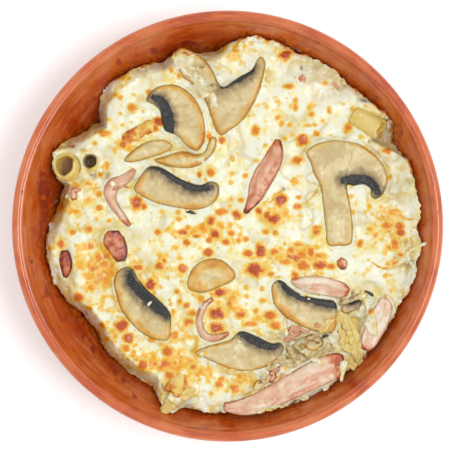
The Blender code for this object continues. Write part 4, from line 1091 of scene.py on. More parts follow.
def terracotta_finish():
    f = Finish("fired_clay")
    wide = f.noise(14.0, 3.0)
    fine = f.noise(0.7, 4.0, 0.65)
    mid = f.noise(2.6, 4.0, 0.65)
    f.colour = f.mix(f.step(wide, 0.3, 0.7), rgb(214, 106, 60), rgb(224, 126, 80))
    f.layer(f.times(f.step(fine, 0.5, 0.8), 0.25), (232, 150, 108))
    # Painted shade: darker down the inside wall, away from the lip
    f.layer(f.times(f.field("deep"), f.step(mid, 0.1, 0.7)), (190, 84, 48))
    f.layer(f.times(f.step(f.field("turned"), 0.55, 1.0), 0.55), (178, 74, 38))
    f.layer(f.times(f.step(f.field("turned"), 0.45, 0.0), 0.55), (232, 148, 104))
    f.layer(f.times(f.field("line"), 0.8), (150, 64, 36))
    grain = f.plus(f.times(fine, 0.55), f.times(mid, 0.55))
    # Burnt stains, with painted shadow in the nooks and under the food's edge
    over = f.minus(grain, f.minus(1.0, f.field("burnt")))
    stain_and_shadow = f.times(f.step(over, 0.0, 0.14), f.step(f.field("burnt"), 0.02, 0.25))
    tone = f.ramp(grain, (0.40, 108, 44, 26), (0.55, 158, 68, 38), (0.70, 200, 98, 54))
    f.layer(f.times(stain_and_shadow, 0.85), tone)
    baked = f.ramp(mid, (0.3, 232, 142, 74), (0.5, 206, 104, 50), (0.7, 140, 60, 32))
    f.layer(f.times(f.field("crust"), f.step(fine, 0.25, 0.55)), baked)
    # Painted shade where the rim is chipped
    f.layer(f.field("chip"), (60, 28, 20))
    f.set(Base_Color=f.colour, Roughness=f.plus(f.times(stain_and_shadow, 0.3), 0.26))
    f.set(Coat_Weight=0.25, Coat_Roughness=0.12)
    f.bump(grain, 0.12, 0.6)
    return f.material


# Dish

def dish_profile():
    """Radius and height down the inside wall, over the lip and down the outside."""
    floor = [(0.0, FLOOR_LEVEL), (30.0, FLOOR_LEVEL), (FLOOR_RADIUS - 2.0, FLOOR_LEVEL)]
    heights = [*WALL_BEND, *np.arange(22.0, WALL_TOP, 0.75)]
    wall = [(float(wall_radius(z)), z) for z in heights]
    lip = [(LIP_INNER_RADIUS + out, RIM_HEIGHT - drop) for out, drop in LIP_RISE]
    lip += [(RIM_RADIUS - into, RIM_HEIGHT - drop) for into, drop in LIP_ROLL]
    lip.append((SHOULDER_RADIUS, SHOULDER_HEIGHT))
    outside = [(float(outside_radius(z)), float(z)) for z in np.arange(45.0, 1.5, -1.6)]
    foot = [(FOOT_RADIUS + out, z) for out, z in FOOT_BEND]
    return floor + wall + lip + outside + foot + [(0.0, 0.0)]


def patches(x, y):
    """Where the edge of the food has baked on."""
    return smooth((rough(x, y, 15.0, 10, 2) + 0.15) / 0.4)


def dish_fields(x, y, z):
    r = np.hypot(x, y)
    inside = (r < wall_radius(z) + 0.8) & (z > FLOOR_LEVEL - 0.1)
    # Burnt stains and painted shadow on the wall
    burnt = zones(x, y, BURNT_AND_SHADOWED) * (0.95 + 0.8 * rough(x, y, 3.0, 21))
    baked = smooth((4.2 - r + food_edge(x, y)) / 4.0)
    crust = baked * (0.30 + 0.7 * patches(x, y) + 0.9 * rough(x, y, 3.0, 22))
    line = 0.7 * bell(r - LIP_INNER_RADIUS - 0.2, 0.25) + 0.5 * bell(r - LIP_INNER_RADIUS - 1.3, 0.2)
    for k, radius in enumerate(GROOVES):
        line = line + 0.6 * bell(r - radius, 0.26) * unit(rough(x, y, 26.0, 24 + k))
    line = line * unit(0.35 + 0.9 * rough(x, y, 30.0, 23))
    around = np.degrees(np.arctan2(y, x)) * 0.5
    # Painted shade that grows down the wall from the lip
    deep = smooth((LIP_INNER_RADIUS - 1.0 - r + 3.0 * rough(x, y, 14.0, 25)) / 9.0)
    return {
        "turned": unit(0.5 + 0.7 * rough(r * 3.0, around, 3.0, 26) + 0.4 * rough(x, y, 9.0, 27)),
        "burnt": np.where(inside, unit(burnt), 0.0),
        "crust": np.where(inside, unit(crust), 0.0),
        "deep": np.where(inside, deep, 0.0),
        "line": np.where(inside | (z > RIM_HEIGHT - 1.4), line, 0.0),
        "chip": np.where(z > RIM_HEIGHT - 12.0, unit(zones(x, y, CHIP_SHADOWS) * 1.6 - 0.3), 0.0),
    }


def build_dish():
    """The fired dish, with sauce baked on its wall."""
    angle = turns(DISH_STEPS)
    shell = Shell()
    for radius, z in dish_profile():
        if radius == 0.0:
            shell.tip((0.0, 0.0, z))
            continue
        inward = min(1.0, (RIM_RADIUS - radius) / 2.0) * min(1.0, z / 20.0)
        wobble = 0.12 * rough(*polar(radius, angle), 22.0, 5, 2) * inward
        drawn = min(radius, RIM_RADIUS - RIM_MARGIN) + wobble
        shell.ring(*polar(drawn, angle), np.full(angle.shape, z))
    points = shell.array()
    dish = new_object("fired_dish", points, shell.faces, terracotta_finish(), dish_fields(*points.T))
    return finished(dish, "terracotta", "dish")


# Cheese

def seat_height(x, y, z, seats):
    """Sinks the top under the toppings, and lets it creep up at their edges and over them in places."""
    for outline, plane, thickness in seats.values():
        near = near_line(outline, x, y, 5.0)
        if not near.any():
            continue
        nx = x[near]
        ny = y[near]
        away = edge_distance(outline, nx, ny)
        level = plane(nx, ny)
        creep = np.clip(0.68 + 0.5 * rough(nx, ny, 5.0, 29), 0.1, 1.0)
        up = np.maximum(level + thickness * 0.78 - z[near], 0.0)
        lip = z[near] + creep * up * bell(np.maximum(away - 0.3, 0.0), 1.5)
        share = 1.0 - smooth((away + 0.5) / 0.7)
        sunk = lip + (np.minimum(level - 0.3, lip) - lip) * share
        film = smooth((zones(nx, ny, FILMS) - 0.45 + 0.35 * rough(nx, ny, 3.4, 33)) / 0.35)
        film = film * smooth((1.6 - away) / 1.6)
        over = level + thickness + 0.8 + 0.2 * rough(nx, ny, 2.4, 34)
        z[near] = sunk + np.maximum(over - sunk, 0.0) * film
    return z


def small_blisters():
    """Small pale blisters, more of them on the near left."""
    draw = np.random.default_rng(BLISTER_SEED)
    spots = []
    while len(spots) < SMALL_BLISTERS:
        px, py = draw.uniform(40, 420, 2)
        keep = 0.25 + 0.75 * math.exp(-((px - 120) / 80) ** 2 - ((py - 320) / 70) ** 2)
        size = draw.uniform(1.0, 2.4)
        strength = draw.uniform(0.18, 0.5) * (0.7 + 0.5 * keep)
        if draw.random() < keep and math.hypot(px - CENTRE_PX[0], py - CENTRE_PX[1]) < 180:
            spots.append((px, py, size, size * draw.uniform(0.8, 1.2), strength))
    return spots


def blister_fields(x, y):
    """Browning, paler middle and height of the blisters."""
    browning = np.zeros(x.shape)
    pith = np.zeros(x.shape)
    height = np.zeros(x.shape)
    ragged = 0.34 * rough(x, y, 2.4, 31) + 0.14 * lumps(x, y, 0.9, 32)
    for px, py, wide, high, strength in BLISTERS + small_blisters():
        cx, cy = mm(px, py)
        near = np.hypot(x - cx, y - cy) < 1.8 * max(wide, high) * MM_PER_PX + 1.0
        away = np.hypot((x[near] - cx) / (wide * MM_PER_PX), (y[near] - cy) / (high * MM_PER_PX))
        away = away + ragged[near]
        brown = strength * np.maximum(smooth((1.30 - away) / 0.85), 0.20 * smooth((1.75 - away) / 0.7))
        browning[near] = np.maximum(browning[near], brown)
        size = min(wide, high) * MM_PER_PX
        dome = np.sqrt(unit(1.0 - away ** 2))
        height[near] = np.maximum(height[near], 0.28 * size * strength * dome)
        if wide >= 3.9 and strength > 0.6:
            pith[near] = np.maximum(pith[near], 0.4 * smooth((0.55 - away) / 0.4))
    return browning, pith, height


def tube_frame(foot, end):
    foot = Vector(foot)
    end = Vector(end)
    axis = (end - foot).normalized()
    side = axis.cross(Vector((0.0, 0.0, 1.0))).normalized()
    return foot, end, axis, side, side.cross(axis)


def tube_top(foot, end, outer, x, y):
    """Height of the tube's upper side, and how far each point is over it."""
    run = (end - foot).xy
    length = run.length
    along = ((x - foot.x) * run.x + (y - foot.y) * run.y) / length
    across = ((x - foot.x) * run.y - (y - foot.y) * run.x) / length
    crown = foot.z + (end.z - foot.z) * unit(along / length)
    over = np.clip(np.minimum(along + outer * 0.4, length - along + outer * 0.3), -9.0, 9.0)
    height = crown + np.sqrt(np.maximum(outer ** 2 - across ** 2, 0.0))
    return height, np.minimum(over, outer - np.abs(across))


def drape_tubes(x, y, z):
    """Lays patches of cheese over the lying tubes, and up the sides of the standing ones."""
    for name, (foot, end, outer, bore) in TUBES.items():
        foot, end, axis, _, _ = tube_frame(foot, end)
        if axis.z > STANDING:
            reach, rise = HOLE_EDGES[name]
            away = np.hypot(x - end.x, y - end.y)
            share = smooth((outer + reach - away) / reach) * smooth((away - bore * HOLES[name] + 0.3) / 1.3)
            level = end.z + rise + 0.6 * rough(x, y, 3.0, 35)
        else:
            level, over = tube_top(foot, end, outer, x, y)
            level = level + 0.45
            share = smooth((rough(x, y, 6.5, 36 + len(name)) + COVER[name]) / 0.5)
            share = share * smooth((over + 1.2) / 1.2)
        z = z + np.maximum(level - z, 0.0) * share
    return z


def clear_tubes(x, y, z):
    """Lowers the top inside and in front of the open tubes, and says where, for the painted shade there."""
    hollow = np.zeros(x.shape)
    for name, (foot, end, outer, bore) in TUBES.items():
        if bore == 0.0 or name == "end_near_left":
            continue
        _, end, axis, _, _ = tube_frame(foot, end)
        dx = x - end.x
        dy = y - end.y
        dz = z - end.z
        along = dx * axis.x + dy * axis.y + dz * axis.z
        away = np.sqrt(np.maximum(dx ** 2 + dy ** 2 + dz ** 2 - along ** 2, 0.0))
        if axis.z > STANDING:
            plan = np.hypot(x - end.x + axis.x * 3.0, y - end.y + axis.y * 3.0)
            share = 1.0 - smooth((plan - bore * HOLES[name]) / (outer - bore))
            z = z + (relief(x, y) - TUBE_DEPTH - z) * share
            hollow = np.maximum(hollow, share)
        else:
            share = smooth((along + 2.0) / 2.0) * (1.0 - smooth((away - outer + 0.5) / 2.0))
            z = z - 4.0 * share
            hollow = np.maximum(hollow, 0.6 * share)
    return z, hollow


def strands():
    """Middle lines of the shreds that have half melted into the top."""
    draw = np.random.default_rng(STRAND_SEED)
    lines = []
    for _ in range(STRANDS):
        angle = draw.uniform(0.0, 2.0 * math.pi)
        radius = STRAND_REACH * math.sqrt(draw.uniform())
        x = radius * math.cos(angle)
        y = radius * math.sin(angle)
        ahead = draw.uniform(0.0, 2.0 * math.pi)
        bend = draw.uniform(-0.3, 0.3)
        width = draw.uniform(0.45, 0.95)
        line = []
        for _ in range(int(draw.integers(4, 10))):
            line.append((x, y, width))
            x += STRAND_STEP * math.cos(ahead)
            y += STRAND_STEP * math.sin(ahead)
            ahead += bend + draw.uniform(-0.25, 0.25)
        lines.append(line)
    return lines


def strand_height(x, y):
    height = np.zeros(x.shape)
    for line in strands():
        near = near_line(line, x, y, 2.0)
        if near.any():
            away, _, _, width = line_position(line, x[near], y[near])
            height[near] = np.maximum(height[near], 0.6 * width * bell(away, width))
    return height


def cheese_surface(x, y, seats):
    """Height of the melted cheese, and its fields."""
    r = np.hypot(x, y)
    inset = food_edge(x, y) - r
    browning, pith, bumps = blister_fields(x, y)
    warp_x = x + 3.0 * rough(x, y, 10.0, 51, 2)
    warp_y = y + 3.0 * rough(x, y, 10.0, 52, 2)
    pillow = rough(warp_x, warp_y, 10.0, 53, 2)
    # The creases, which sink the top and carry a painted shade
    crease = smooth((0.22 - np.abs(pillow + 0.25)) / 0.22) * smooth((rough(x, y, 12.0, 54) + 0.35) / 0.5)
    white = smooth((rough(x, y, 15.0, 81) + 0.18) / 0.22)
    rubble = unit(zones(x, y, RUBBLE))
    rubble_form = rough(x, y, 3.6, 61)
    flaky = unit(zones(x, y, FLAKY))
    flakes = np.abs(rough(warp_x, warp_y, 4.4, 55))
    swells = 1.1 * pillow + (0.36 - 0.2 * white) * rough(x, y, 2.8, 4) - 0.45 * crease
    crags = rubble * (1.4 * rubble_form + 0.5 * rough(x, y, 1.5, 62)) + flaky * 1.8 * (flakes - 0.25)
    bead = 1.9 * bell(inset - 3.0, 2.2) * (rough(x, y, 5.0, 64) + 0.25)
    calm = smooth((inset + 0.5) / 3.0)
    z = relief(x, y) + bead + calm * (swells + bumps + strand_height(x, y) + crags)
    z = seat_height(x, y, drape_tubes(x, y, z), seats)
    z, hollow = clear_tubes(x, y, z)
    z = np.maximum(z, wall_height(r + WALL_CLEARANCE * 0.6))
    toasted = zones(x, y, TOASTED)
    toast = toasted * (0.85 + 0.5 * rough(x, y, 6.0, 8)) + 0.5 * flaky * smooth((flakes - 0.3) / 0.25)
    # Painted light: a little warm yellow on the edge's slope towards the left, which the key light misses
    rim = bell(inset - 2.4, 2.2) * (1.0 + rough(x, y, 6.0, 65)) * smooth((40.0 - x) / 60.0)
    toast = toast + 0.12 * smooth(pillow / 0.6) + 0.08 * rim
    greyed = zones(x, y, GREYED) * (0.8 + 0.6 * rough(x, y, 5.0, 9))
    crust = (1.30 - inset / 2.6) * (0.8 + 0.8 * rough(x, y, 3.0, 12)) * (0.4 + 0.6 * patches(x, y))
    return z, {
        # Painted shade in the hollows of the rubble
        "gap": np.clip(rubble * (-2.2 * rubble_form - 0.15), 0.0, 0.9),
        "blister": browning,
        "pith": pith,
        "crease": unit(crease + 0.6 * rubble * rough(x, y, 3.6, 63)),
        "toast": unit(toast),
        "sauce": unit(greyed + 0.45 * rubble + 0.5 * unit(zones(x, y, FILMS))),
        "white": unit(zones(x, y, WHITE) + 0.8 * white - 0.8 * toasted),
        "crust": unit(crust),
        "hollow": hollow,
        # Painted shadow in the pits and gaps
        "dark": unit(zones(x, y, PIT_SHADOWS) * 1.3 - 0.2),
    }


def build_cheese(seats, mat):
    """The melted cheese, browned, blistered and baked on at the wall."""
    shell = Shell()
    for k in range(TOP_RINGS + 1):
        x, y = disc_ring(k, TOP_RINGS, 0.0)
        frayed = 0.014 * rough(x, y, 4.5, 71) + 0.008 * rough(x, y, 1.7, 72) - 0.012
        ragged = 1.0 + frayed * (k / TOP_RINGS) ** 8
        shell.ring(x * ragged, y * ragged, np.zeros(x.shape))
    top = shell.array()
    z, fields = cheese_surface(top[:, 0], top[:, 1], seats)
    angle = turns(6 * UNDER_RINGS)
    outer, inner, foot = skirt(angle)
    shell.ring(*polar(outer, angle), foot)
    shell.ring(*polar(inner, angle), foot)
    for k in range(UNDER_RINGS, -1, -1):
        x, y = disc_ring(k, UNDER_RINGS, LIP_INSET)
        previous = shell.last
        shell.ring(x, y, relief(x, y) - CHEESE_DEPTH, join=False)
        shell.faces += [face[::-1] for face in stitch(shell.last, previous)]
    points = shell.array()
    points[:len(top), 2] = z
    side = np.zeros(len(points) - len(top))
    side[:2 * len(angle)] = 1.0
    for name, values in fields.items():
        fields[name] = np.concatenate([values, SKIRT_FIELDS.get(name, 0.0) * side])
    cheese = new_object("melted_cheese", points, shell.faces, mat, fields)
    return finished(cheese, "cheese", "cheese")


# Toppings

def upward(points, faces):
    """The faces, each turned so that it faces up."""
    a, b, c = (points[[f[k] for f in faces]] for k in range(3))
    area = (b[:, 0] - a[:, 0]) * (c[:, 1] - a[:, 1]) - (b[:, 1] - a[:, 1]) * (c[:, 0] - a[:, 0])
    return [f if s > 0 else f[::-1] for f, s in zip(faces, area)]


def slab_rim(outline, spacing):
    """Points along the outline at even steps."""
    lengths = [math.dist(a, b) for a, b in pairs(outline)]
    count = max(12, int(sum(lengths) / spacing))
    marks = np.arange(count) * sum(lengths) / count
    ends = np.cumsum([0.0] + lengths)
    closed = np.array(outline + outline[:1])
    return np.interp(marks, ends, closed[:, 0]), np.interp(marks, ends, closed[:, 1])


def slab_top(rim_x, rim_y, spacing):
    """A flat mesh inside the rim: its points, its faces and the points' distance from the edge."""
    count = len(rim_x)
    rim = list(zip(rim_x, rim_y))
    xs = np.arange(min(rim_x), max(rim_x), spacing)
    ys = np.arange(min(rim_y), max(rim_y), spacing * 0.866)
    gx, gy = np.meshgrid(xs, ys)
    gx[1::2] += spacing / 2.0
    gx = gx.ravel()
    gy = gy.ravel()
    away = edge_distance(rim, gx, gy)
    keep = away < -0.6 * spacing
    points = [Vector(p) for p in rim] + [Vector(p) for p in zip(gx[keep], gy[keep])]
    result = delaunay_2d_cdt(points, [], [list(range(count))], 1, 1e-5)
    flat = np.array([tuple(p) for p in result[0]])
    faces = [tuple(f) for f in result[2]]
    depth = np.concatenate([np.zeros(count), -away[keep]])
    if len(flat) != len(points):
        depth = np.maximum(-edge_distance(rim, flat[:, 0], flat[:, 1]), 0.0)
        depth[:count] = 0.0
    return flat, faces, depth


def slab_object(name, outline, plane, thickness, bevel, spacing, mat, dress):
    """A piece with a rounded upper edge, whose relief and fields come from the function given."""
    rim_x, rim_y = slab_rim(outline, spacing)
    flat, faces, depth = slab_top(rim_x, rim_y, spacing)
    count = len(rim_x)
    x, y = flat.T
    z = plane(x, y) + thickness - bevel * (1.0 - np.sqrt(1.0 - (1.0 - unit(depth / bevel)) ** 2))
    parts = [np.stack([x, y, z], axis=1)]
    loops = [list(range(count))]
    start = len(flat)
    cx = rim_x.mean()
    cy = rim_y.mean()
    for share, bulge in SIDE_BANDS:
        scale = 1.0 + bulge / max(1.0, np.hypot(rim_x - cx, rim_y - cy).mean())
        sx = cx + (rim_x - cx) * scale
        sy = cy + (rim_y - cy) * scale
        parts.append(np.stack([sx, sy, plane(sx, sy) + share * (thickness - bevel)], axis=1))
        loops.append(list(range(start, start + count)))
        start += count
    sides = [
        (upper[i], lower[i], lower[(i + 1) % count], upper[(i + 1) % count])
        for upper, lower in zip(loops, loops[1:]) for i in range(count)
    ]
    walls = sides + [tuple(reversed(loops[-1]))]
    if signed_area(outline) <= 0.0:
        walls = [face[::-1] for face in walls]
    points = np.concatenate(parts)
    faces = upward(points, faces)
    depth = np.concatenate([depth] + [np.full(count, level) for level in SIDE_DEPTHS])
    lift, fields = dress(points[:, 0], points[:, 1], depth)
    points[:, 2] += lift * smooth(depth / bevel)
    return new_object(name, points, faces + walls, mat, fields)


def gill_band(name):
    return [(*mm(px, py), half * MM_PER_PX) for px, py, half in open_curve(GILLS[name], 4)]


def dress_mushroom(name, seed):
    """The look of a slice: golden at the cap's rim, with dark combed gills where they show, painted lighter
    on their ridges and darker between them.
    """
    golden_strength, golden_width = GOLDEN.get(name, (0.5, 2.0))

    def dress(x, y, depth):
        grain = rough(x, y, 2.5, seed)
        golden = smooth(1.0 - depth / golden_width + 0.35 * grain) ** 1.5 + 0.35 * smooth(1.0 - depth / 8.0)
        golden = np.minimum(golden_strength * golden, 0.75) * (0.75 + 0.5 * rough(x, y, 8.0, seed + 8))
        skin = smooth((0.40 - depth + 0.3 * grain) / 0.5) * unit(0.45 + 0.8 * rough(x, y, 9.0, seed + 6))
        lift = 0.65 * rough(x, y, 9.0, seed + 1, 2) + 0.12 * rough(x, y, 2.0, seed + 2)
        gill = np.zeros(x.shape)
        comb = np.zeros(x.shape)
        halo = np.zeros(x.shape)
        streaks = rough(x * 0.4 + y * 0.9, (y * 0.4 - x * 0.9) * 0.3, 1.6, seed + 9)
        if name in GILLS:
            away, along, _, half = line_position(gill_band(name), x, y)
            teeth = 0.5 + 0.5 * np.sin(2.0 * math.pi * along / 0.95 + 2.6 * rough(x, y, 1.8, seed + 4))
            away = away + 0.45 * rough(x, y, 1.6, seed + 3) + 0.35 * (teeth - 0.5)
            gill = smooth((half + 0.3 - away) / 0.6)
            streaks = rough(along, away * 0.25, 1.3, seed + 9)
            fringe = (away - half) * (1.0 + 0.35 * rough(along, away * 0.2, 1.2, seed + 10))
            halo = unit(1.0 - fringe / 5.5) ** 1.8 * unit(0.85 + 0.4 * grain)
            # Painted highlight on the gills' ridges, and painted shade between them
            ridges = teeth ** 2 * np.clip(0.55 + 0.9 * rough(x, y, 2.0, seed + 5), 0.0, 1.2)
            comb = unit(ridges + 0.25 * smooth((away - half + 0.5) / 0.6))
            lift = lift - gill * (0.75 - 0.6 * teeth)
            clear = smooth((away - half - 0.6) / 3.0)
            skin = skin * clear
            golden = golden * clear
        return lift, {
            "golden": unit(golden), "skin": unit(skin) * 0.45, "gill": gill, "comb": comb,
            "halo": unit(halo + GREY_FLESH.get(name, 0.0)), "streak": smooth((streaks - 0.1) / 0.5),
        }

    return dress


def dress_ham(name, seed):
    """The look of a strip: fibres along it, roasted at the edges given."""
    stations = HAMS[name][0]
    left, right, first, last = HAM_EDGES.get(name, (0.3, 0.3, 0.3, 0.3))

    def dress(x, y, depth):
        line = open_curve(stations, 4)
        away, along, side, half = line_position(line, x, y)
        total = sum(math.dist(a[:2], b[:2]) for a, b in zip(line, line[1:]))
        reach = 0.16 * total + 1.5
        across = side * away / np.maximum(half, 0.6)
        wave = side * away + 0.6 * np.sin(along / 4.1 + seed) + 0.25 * np.sin(along / 1.6 + 2 * seed)
        fibre = 0.60 + HAM_TONES.get(name, 0.0) + 0.45 * rough(wave * 1.7, along * 0.30, 2.6, seed)
        fibre = fibre + 0.20 * rough(x, y, 4.0, seed + 3)
        grain = rough(x, y, 2.2, seed + 1)
        edge = smooth((1.5 - np.maximum(depth, 0.0) + 0.8 * grain) / 1.8)
        edge = edge * np.clip(0.75 + 0.7 * rough(x, y, 6.0, seed + 4), 0.2, 1.2)
        sides = np.where(across < 0.0, left, right) * edge
        ends = first * smooth(1.0 - along / reach) + last * smooth(1.0 - (total - along) / reach)
        roast = HAM_ROAST.get(name, 0.0) * (0.85 + 0.5 * grain) + sides + ends * (0.8 + 0.6 * grain)
        crown = 0.55 * unit(1.0 - across ** 2)
        layer = 0.35 * smooth((across - 0.15 + 0.35 * np.sin(along / 7.0 + seed)) / 0.15)
        lift = crown - 0.35 - layer + 0.35 * (fibre - 0.5) + 0.55 * rough(x, y, 6.0, seed + 2)
        return lift, {"fibre": unit(fibre - 0.25 * layer), "roast": unit(roast)}

    return dress


def build_toppings(table, kind, slot, bevel, spacing, dress, first_seed, seats, mat):
    """One piece for every topping of the table."""
    for k, name in enumerate(table):
        look = dress(name, first_seed + SEED_STEP * k)
        piece = slab_object(f"{kind}_{k + 1}", *seats[name], bevel, spacing, mat, look)
        finished(piece, slot, name)


# Pasta

def build_tube(name, foot, end, outer, bore, mat):
    """One tube of pasta with a thick wavy wall, or the back of one."""
    foot, end, axis, side, up = tube_frame(foot, end)
    t = turns(TUBE_STEPS)
    shell = Shell()
    length = (end - foot).length
    seed = sum(ord(letter) for letter in name)

    def ring(along, radius, lift=0.0):
        centre = foot + axis * along
        swell = radius * (1.0 + 0.045 * np.sin(2 * t + seed) + 0.03 * np.sin(3 * t + along * 0.25 + seed))
        shift = lift * (0.45 * np.sin(2 * t + seed * 0.7) + 0.35 * np.sin(5 * t + seed))
        round_x, round_y = polar(swell, t)
        shell.ring(*[centre[k] + round_x * side[k] + round_y * up[k] + shift * axis[k] for k in range(3)])

    if bore > 0.0:
        wall = outer - bore
        for along in np.linspace(0.0, length - 0.5, TUBE_RINGS):
            ring(along, outer * (1.0 - 0.04 * along / length), along / length)
        for share in (0.12, 0.5, 0.88):
            ring(length - 0.1 + 0.35 * math.sin(math.pi * share), outer * 0.96 - wall * share, 1.0)
        for along in np.linspace(length - 0.5, 0.5, TUBE_RINGS):
            ring(along, bore * 0.97, along / length)
        shell.faces += stitch(shell.last, list(range(TUBE_STEPS)))
    else:
        swell = outer * 0.45
        middle = length / 2.0
        shell.tip(foot - axis * swell)
        for turn in np.linspace(0.15, math.pi - 0.15, BACK_RINGS):
            ring(middle - (middle + swell) * math.cos(turn), outer * min(1.0, 1.35 * math.sin(turn)))
        shell.tip(end + axis * swell)
    points = shell.array()
    x, y, _ = points.T
    offset = points - np.array(foot)
    along = offset @ np.array(axis)
    radial = np.sqrt(np.maximum((offset ** 2).sum(axis=1) - along ** 2, 0.0))
    within = (bore > 0.0) & (radial < (bore + outer) / 2.0)
    fields = {
        # Painted shade inside the bore
        "inside": np.where(within, smooth((length + 0.4 - along) / 4.0), 0.0),
        "pale": unit(0.5 + 0.8 * rough(x, y, 4.0, seed)) * (1.0 if bore > 0.0 else 0.6),
        "brown": unit(ROASTED_TUBES.get(name, 0.1) * (1.0 + 1.2 * rough(x, y, 4.0, seed + 1))),
    }
    return new_object(f"tube_{name}", points, shell.faces, mat, fields)


def build_heap(mat):
    """The pasta under the cheese."""
    shell = Shell()
    neck = LIP_INSET + HEAP_INSET
    for k in range(UNDER_RINGS + 1):
        x, y = disc_ring(k, UNDER_RINGS, LIP_INSET)
        z = relief(x, y) - CHEESE_DEPTH - HEAP_CLEARANCE
        if k == UNDER_RINGS:
            x, y = disc_ring(k, UNDER_RINGS, neck)
        shell.ring(x, y, z)
    angle = turns(6 * UNDER_RINGS)
    _, inner, foot = skirt(angle)
    rings = [(np.minimum(food_radius(angle) - neck, inner - HEAP_GAP), foot)]
    base = FLOOR_LEVEL + GAP
    for share in HEAP_SHARES:
        z = base + share * (foot - HEAP_DROP - base)
        rings.append((wall_radius(z) - 2.0 * GAP, z))
    rings.append((FLOOR_RADIUS - 2.0 * GAP, np.full(angle.shape, base)))
    for radius, z in rings:
        shell.ring(*polar(radius, angle), z)
    shell.faces.append(tuple(shell.last[::-1]))
    points = shell.array()
    zero = np.zeros(len(points))
    # The heap takes the painted shade of the insides all over
    fields = {"inside": zero + 1.0, "pale": zero, "brown": zero}
    return new_object("pasta_heap", points, shell.faces, mat, fields)


def build_pasta(mat):
    finished(build_heap(mat), "pasta", "pasta")
    for name, tube in TUBES.items():
        piece = build_tube(name, *tube, mat)
        face_outward(piece)
        finished(piece, "pasta", "pasta")


# Loose bits

class Ground:
    """Finds the height of the pieces under a point."""

    def __init__(self, pieces):
        self.trees = [self.tree(piece.data) for piece in pieces]

    @staticmethod
    def tree(mesh):
        return BVHTree.FromPolygons([v.co for v in mesh.vertices], [p.vertices for p in mesh.polygons])

    def height(self, x, y):
        """In millimetres, like the point."""
        start = Vector((x * MM, y * MM, 0.2))
        hits = [tree.ray_cast(start, Vector((0.0, 0.0, -1.0)))[0] for tree in self.trees]
        return max([hit.z / MM for hit in hits if hit is not None] + [FLOOR_LEVEL])


def add_bit(shell, ground, bit, seed):
    """A flattened lump with an uneven outline, half sunk where it lies."""
    px, py, half_length, half_width, turn, height = bit
    cx, cy = mm(px, py)
    c = math.cos(math.radians(turn))
    s = math.sin(math.radians(turn))
    level = ground.height(cx, cy)
    t = turns(BIT_STEPS)
    wave = 1.0 + 0.18 * np.sin(2 * t + seed) + 0.13 * np.sin(3 * t + 2.3 * seed) + 0.08 * np.sin(7 * t + seed)
    shell.last = None
    for lift in np.linspace(-1.0, 1.0, BIT_RINGS):
        width = math.sqrt(max(1.0 - lift ** 2, 0.0)) ** 0.7 + 0.02
        u = half_length * MM_PER_PX * width * wave * np.cos(t)
        v = half_width * MM_PER_PX * width * wave * np.sin(t)
        rise = height * (0.5 * lift + 0.35 * np.sin(u * 1.3 + seed) * np.cos(v * 1.7 - seed))
        shell.ring(cx + u * c - v * s, cy + u * s + v * c, level + rise)


def add_shred(shell, ground, line, radius, seed):
    """A strand that lies along the line, given in pixels."""
    curve = open_curve([mm(*point) for point in line], 8)
    level = [ground.height(x, y) for x, y in curve]
    level = np.convolve(np.pad(level, 3, mode="edge"), np.ones(7) / 7.0, mode="valid")
    t = turns(SHRED_STEPS)
    shell.last = None
    for k, (x, y) in enumerate(curve):
        along = heading(curve, k)
        taper = math.sin(math.pi * (k + 0.4) / (len(curve) - 0.2)) ** 0.35
        thick = radius * taper * (1.0 + min(0.25, 0.16 / radius) * math.sin(1.9 * k + seed))
        u = thick * np.cos(t)
        fold = 0.25 * radius * np.sin(2.2 * u / radius + 0.25 * k)
        rise = min(0.7 * thick, 1.0 + 0.2 * thick) * np.sin(t)
        shell.ring(x - along.y * u, y + along.x * u, level[k] + radius * 0.1 + rise + fold * taper)


def build_loose(name, slot, bits, lines, fields, ground, mat):
    """One mesh of all the bits and shreds of a kind."""
    shell = Shell()
    for k, bit in enumerate(bits):
        add_bit(shell, ground, bit, k + 1)
    for k, (radius, *line) in enumerate(lines):
        add_shred(shell, ground, line, radius, k + 1)
    points = shell.array()
    uneven = rough(points[:, 0], points[:, 1], 1.6, 90)
    values = {field: unit(level + spread * uneven) for field, (level, spread) in fields.items()}
    piece = new_object(name, points, shell.faces, mat, values)
    face_outward(piece)
    return finished(piece, slot)


# Stage

def build_stage():
    f = Finish("floor")
    f.set(Base_Color=f.mix(f.noise(400.0, 2.0), FLOOR_LIGHT, FLOOR_SHADE), Roughness=0.9)
    half = FLOOR_HALF
    corners = [(-half, -half, 0.0), (half, -half, 0.0), (half, half, 0.0), (-half, half, 0.0)]
    new_object("floor", corners, [(0, 1, 2, 3)], f.material)


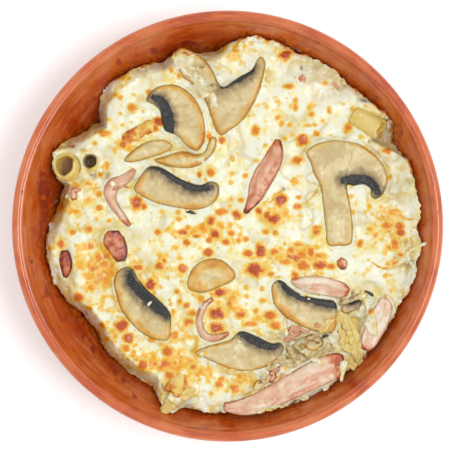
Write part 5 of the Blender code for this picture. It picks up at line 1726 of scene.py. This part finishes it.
def add_sun(name, direction, level):
    """A soft light from the direction; the level is what it adds on a level surface."""
    data = bpy.data.lights.new(name, "SUN")
    data.angle = math.radians(SUN_DEGREES)
    data.energy = level * math.pi / Vector(direction).normalized().z
    light = bpy.data.objects.new(name, data)
    light.rotation_euler = Vector(direction).to_track_quat("Z", "Y").to_euler()
    bpy.context.scene.collection.objects.link(light)


def light_and_camera():
    scene = bpy.context.scene
    scene.view_settings.view_transform = "Standard"
    world = bpy.data.worlds.new("studio")
    world.use_nodes = True
    background = world.node_tree.nodes["Background"]
    background.inputs["Color"].default_value = (1.0, 1.0, 1.0, 1.0)
    background.inputs["Strength"].default_value = SKY
    scene.world = world
    add_sun("key", KEY_DIRECTION, KEY)
    camera_data = bpy.data.cameras.new("camera")
    camera_data.sensor_width = SENSOR_WIDTH
    camera_data.lens = SENSOR_WIDTH * CAMERA_HEIGHT / (FRAME_WIDTH_PX * MM_PER_PX * MM)
    camera_data.clip_end = 10.0
    camera = bpy.data.objects.new("camera", camera_data)
    x, y = mm(FRAME_WIDTH_PX / 2.0, FRAME_WIDTH_PX / 2.0)
    camera.location = (x * MM, y * MM, RIM_HEIGHT * MM + CAMERA_HEIGHT)
    scene.collection.objects.link(camera)
    scene.camera = camera


def main():
    seats = topping_seats()
    finishes = {
        "pasta": pasta_finish(), "cheese": cheese_finish(), "mushroom": mushroom_finish(),
        "ham": ham_finish(),
    }
    build_dish()
    build_pasta(finishes["pasta"])
    build_cheese(seats, finishes["cheese"])
    build_toppings(
        MUSHROOMS, "slice", "mushroom", SLICE_BEVEL, SLICE_SPACING, dress_mushroom, SLICE_SEED, seats,
        finishes["mushroom"])
    build_toppings(
        HAMS, "strip", "ham", STRIP_BEVEL, STRIP_SPACING, dress_ham, STRIP_SEED, seats, finishes["ham"])
    ground = Ground([obj for obj in bpy.data.objects if obj.name.startswith(GROUND_NAMES)])
    for name, slot, bits, lines, fields in LOOSE:
        build_loose(name, slot, bits, lines, fields, ground, finishes[slot])
    build_stage()
    light_and_camera()


main()
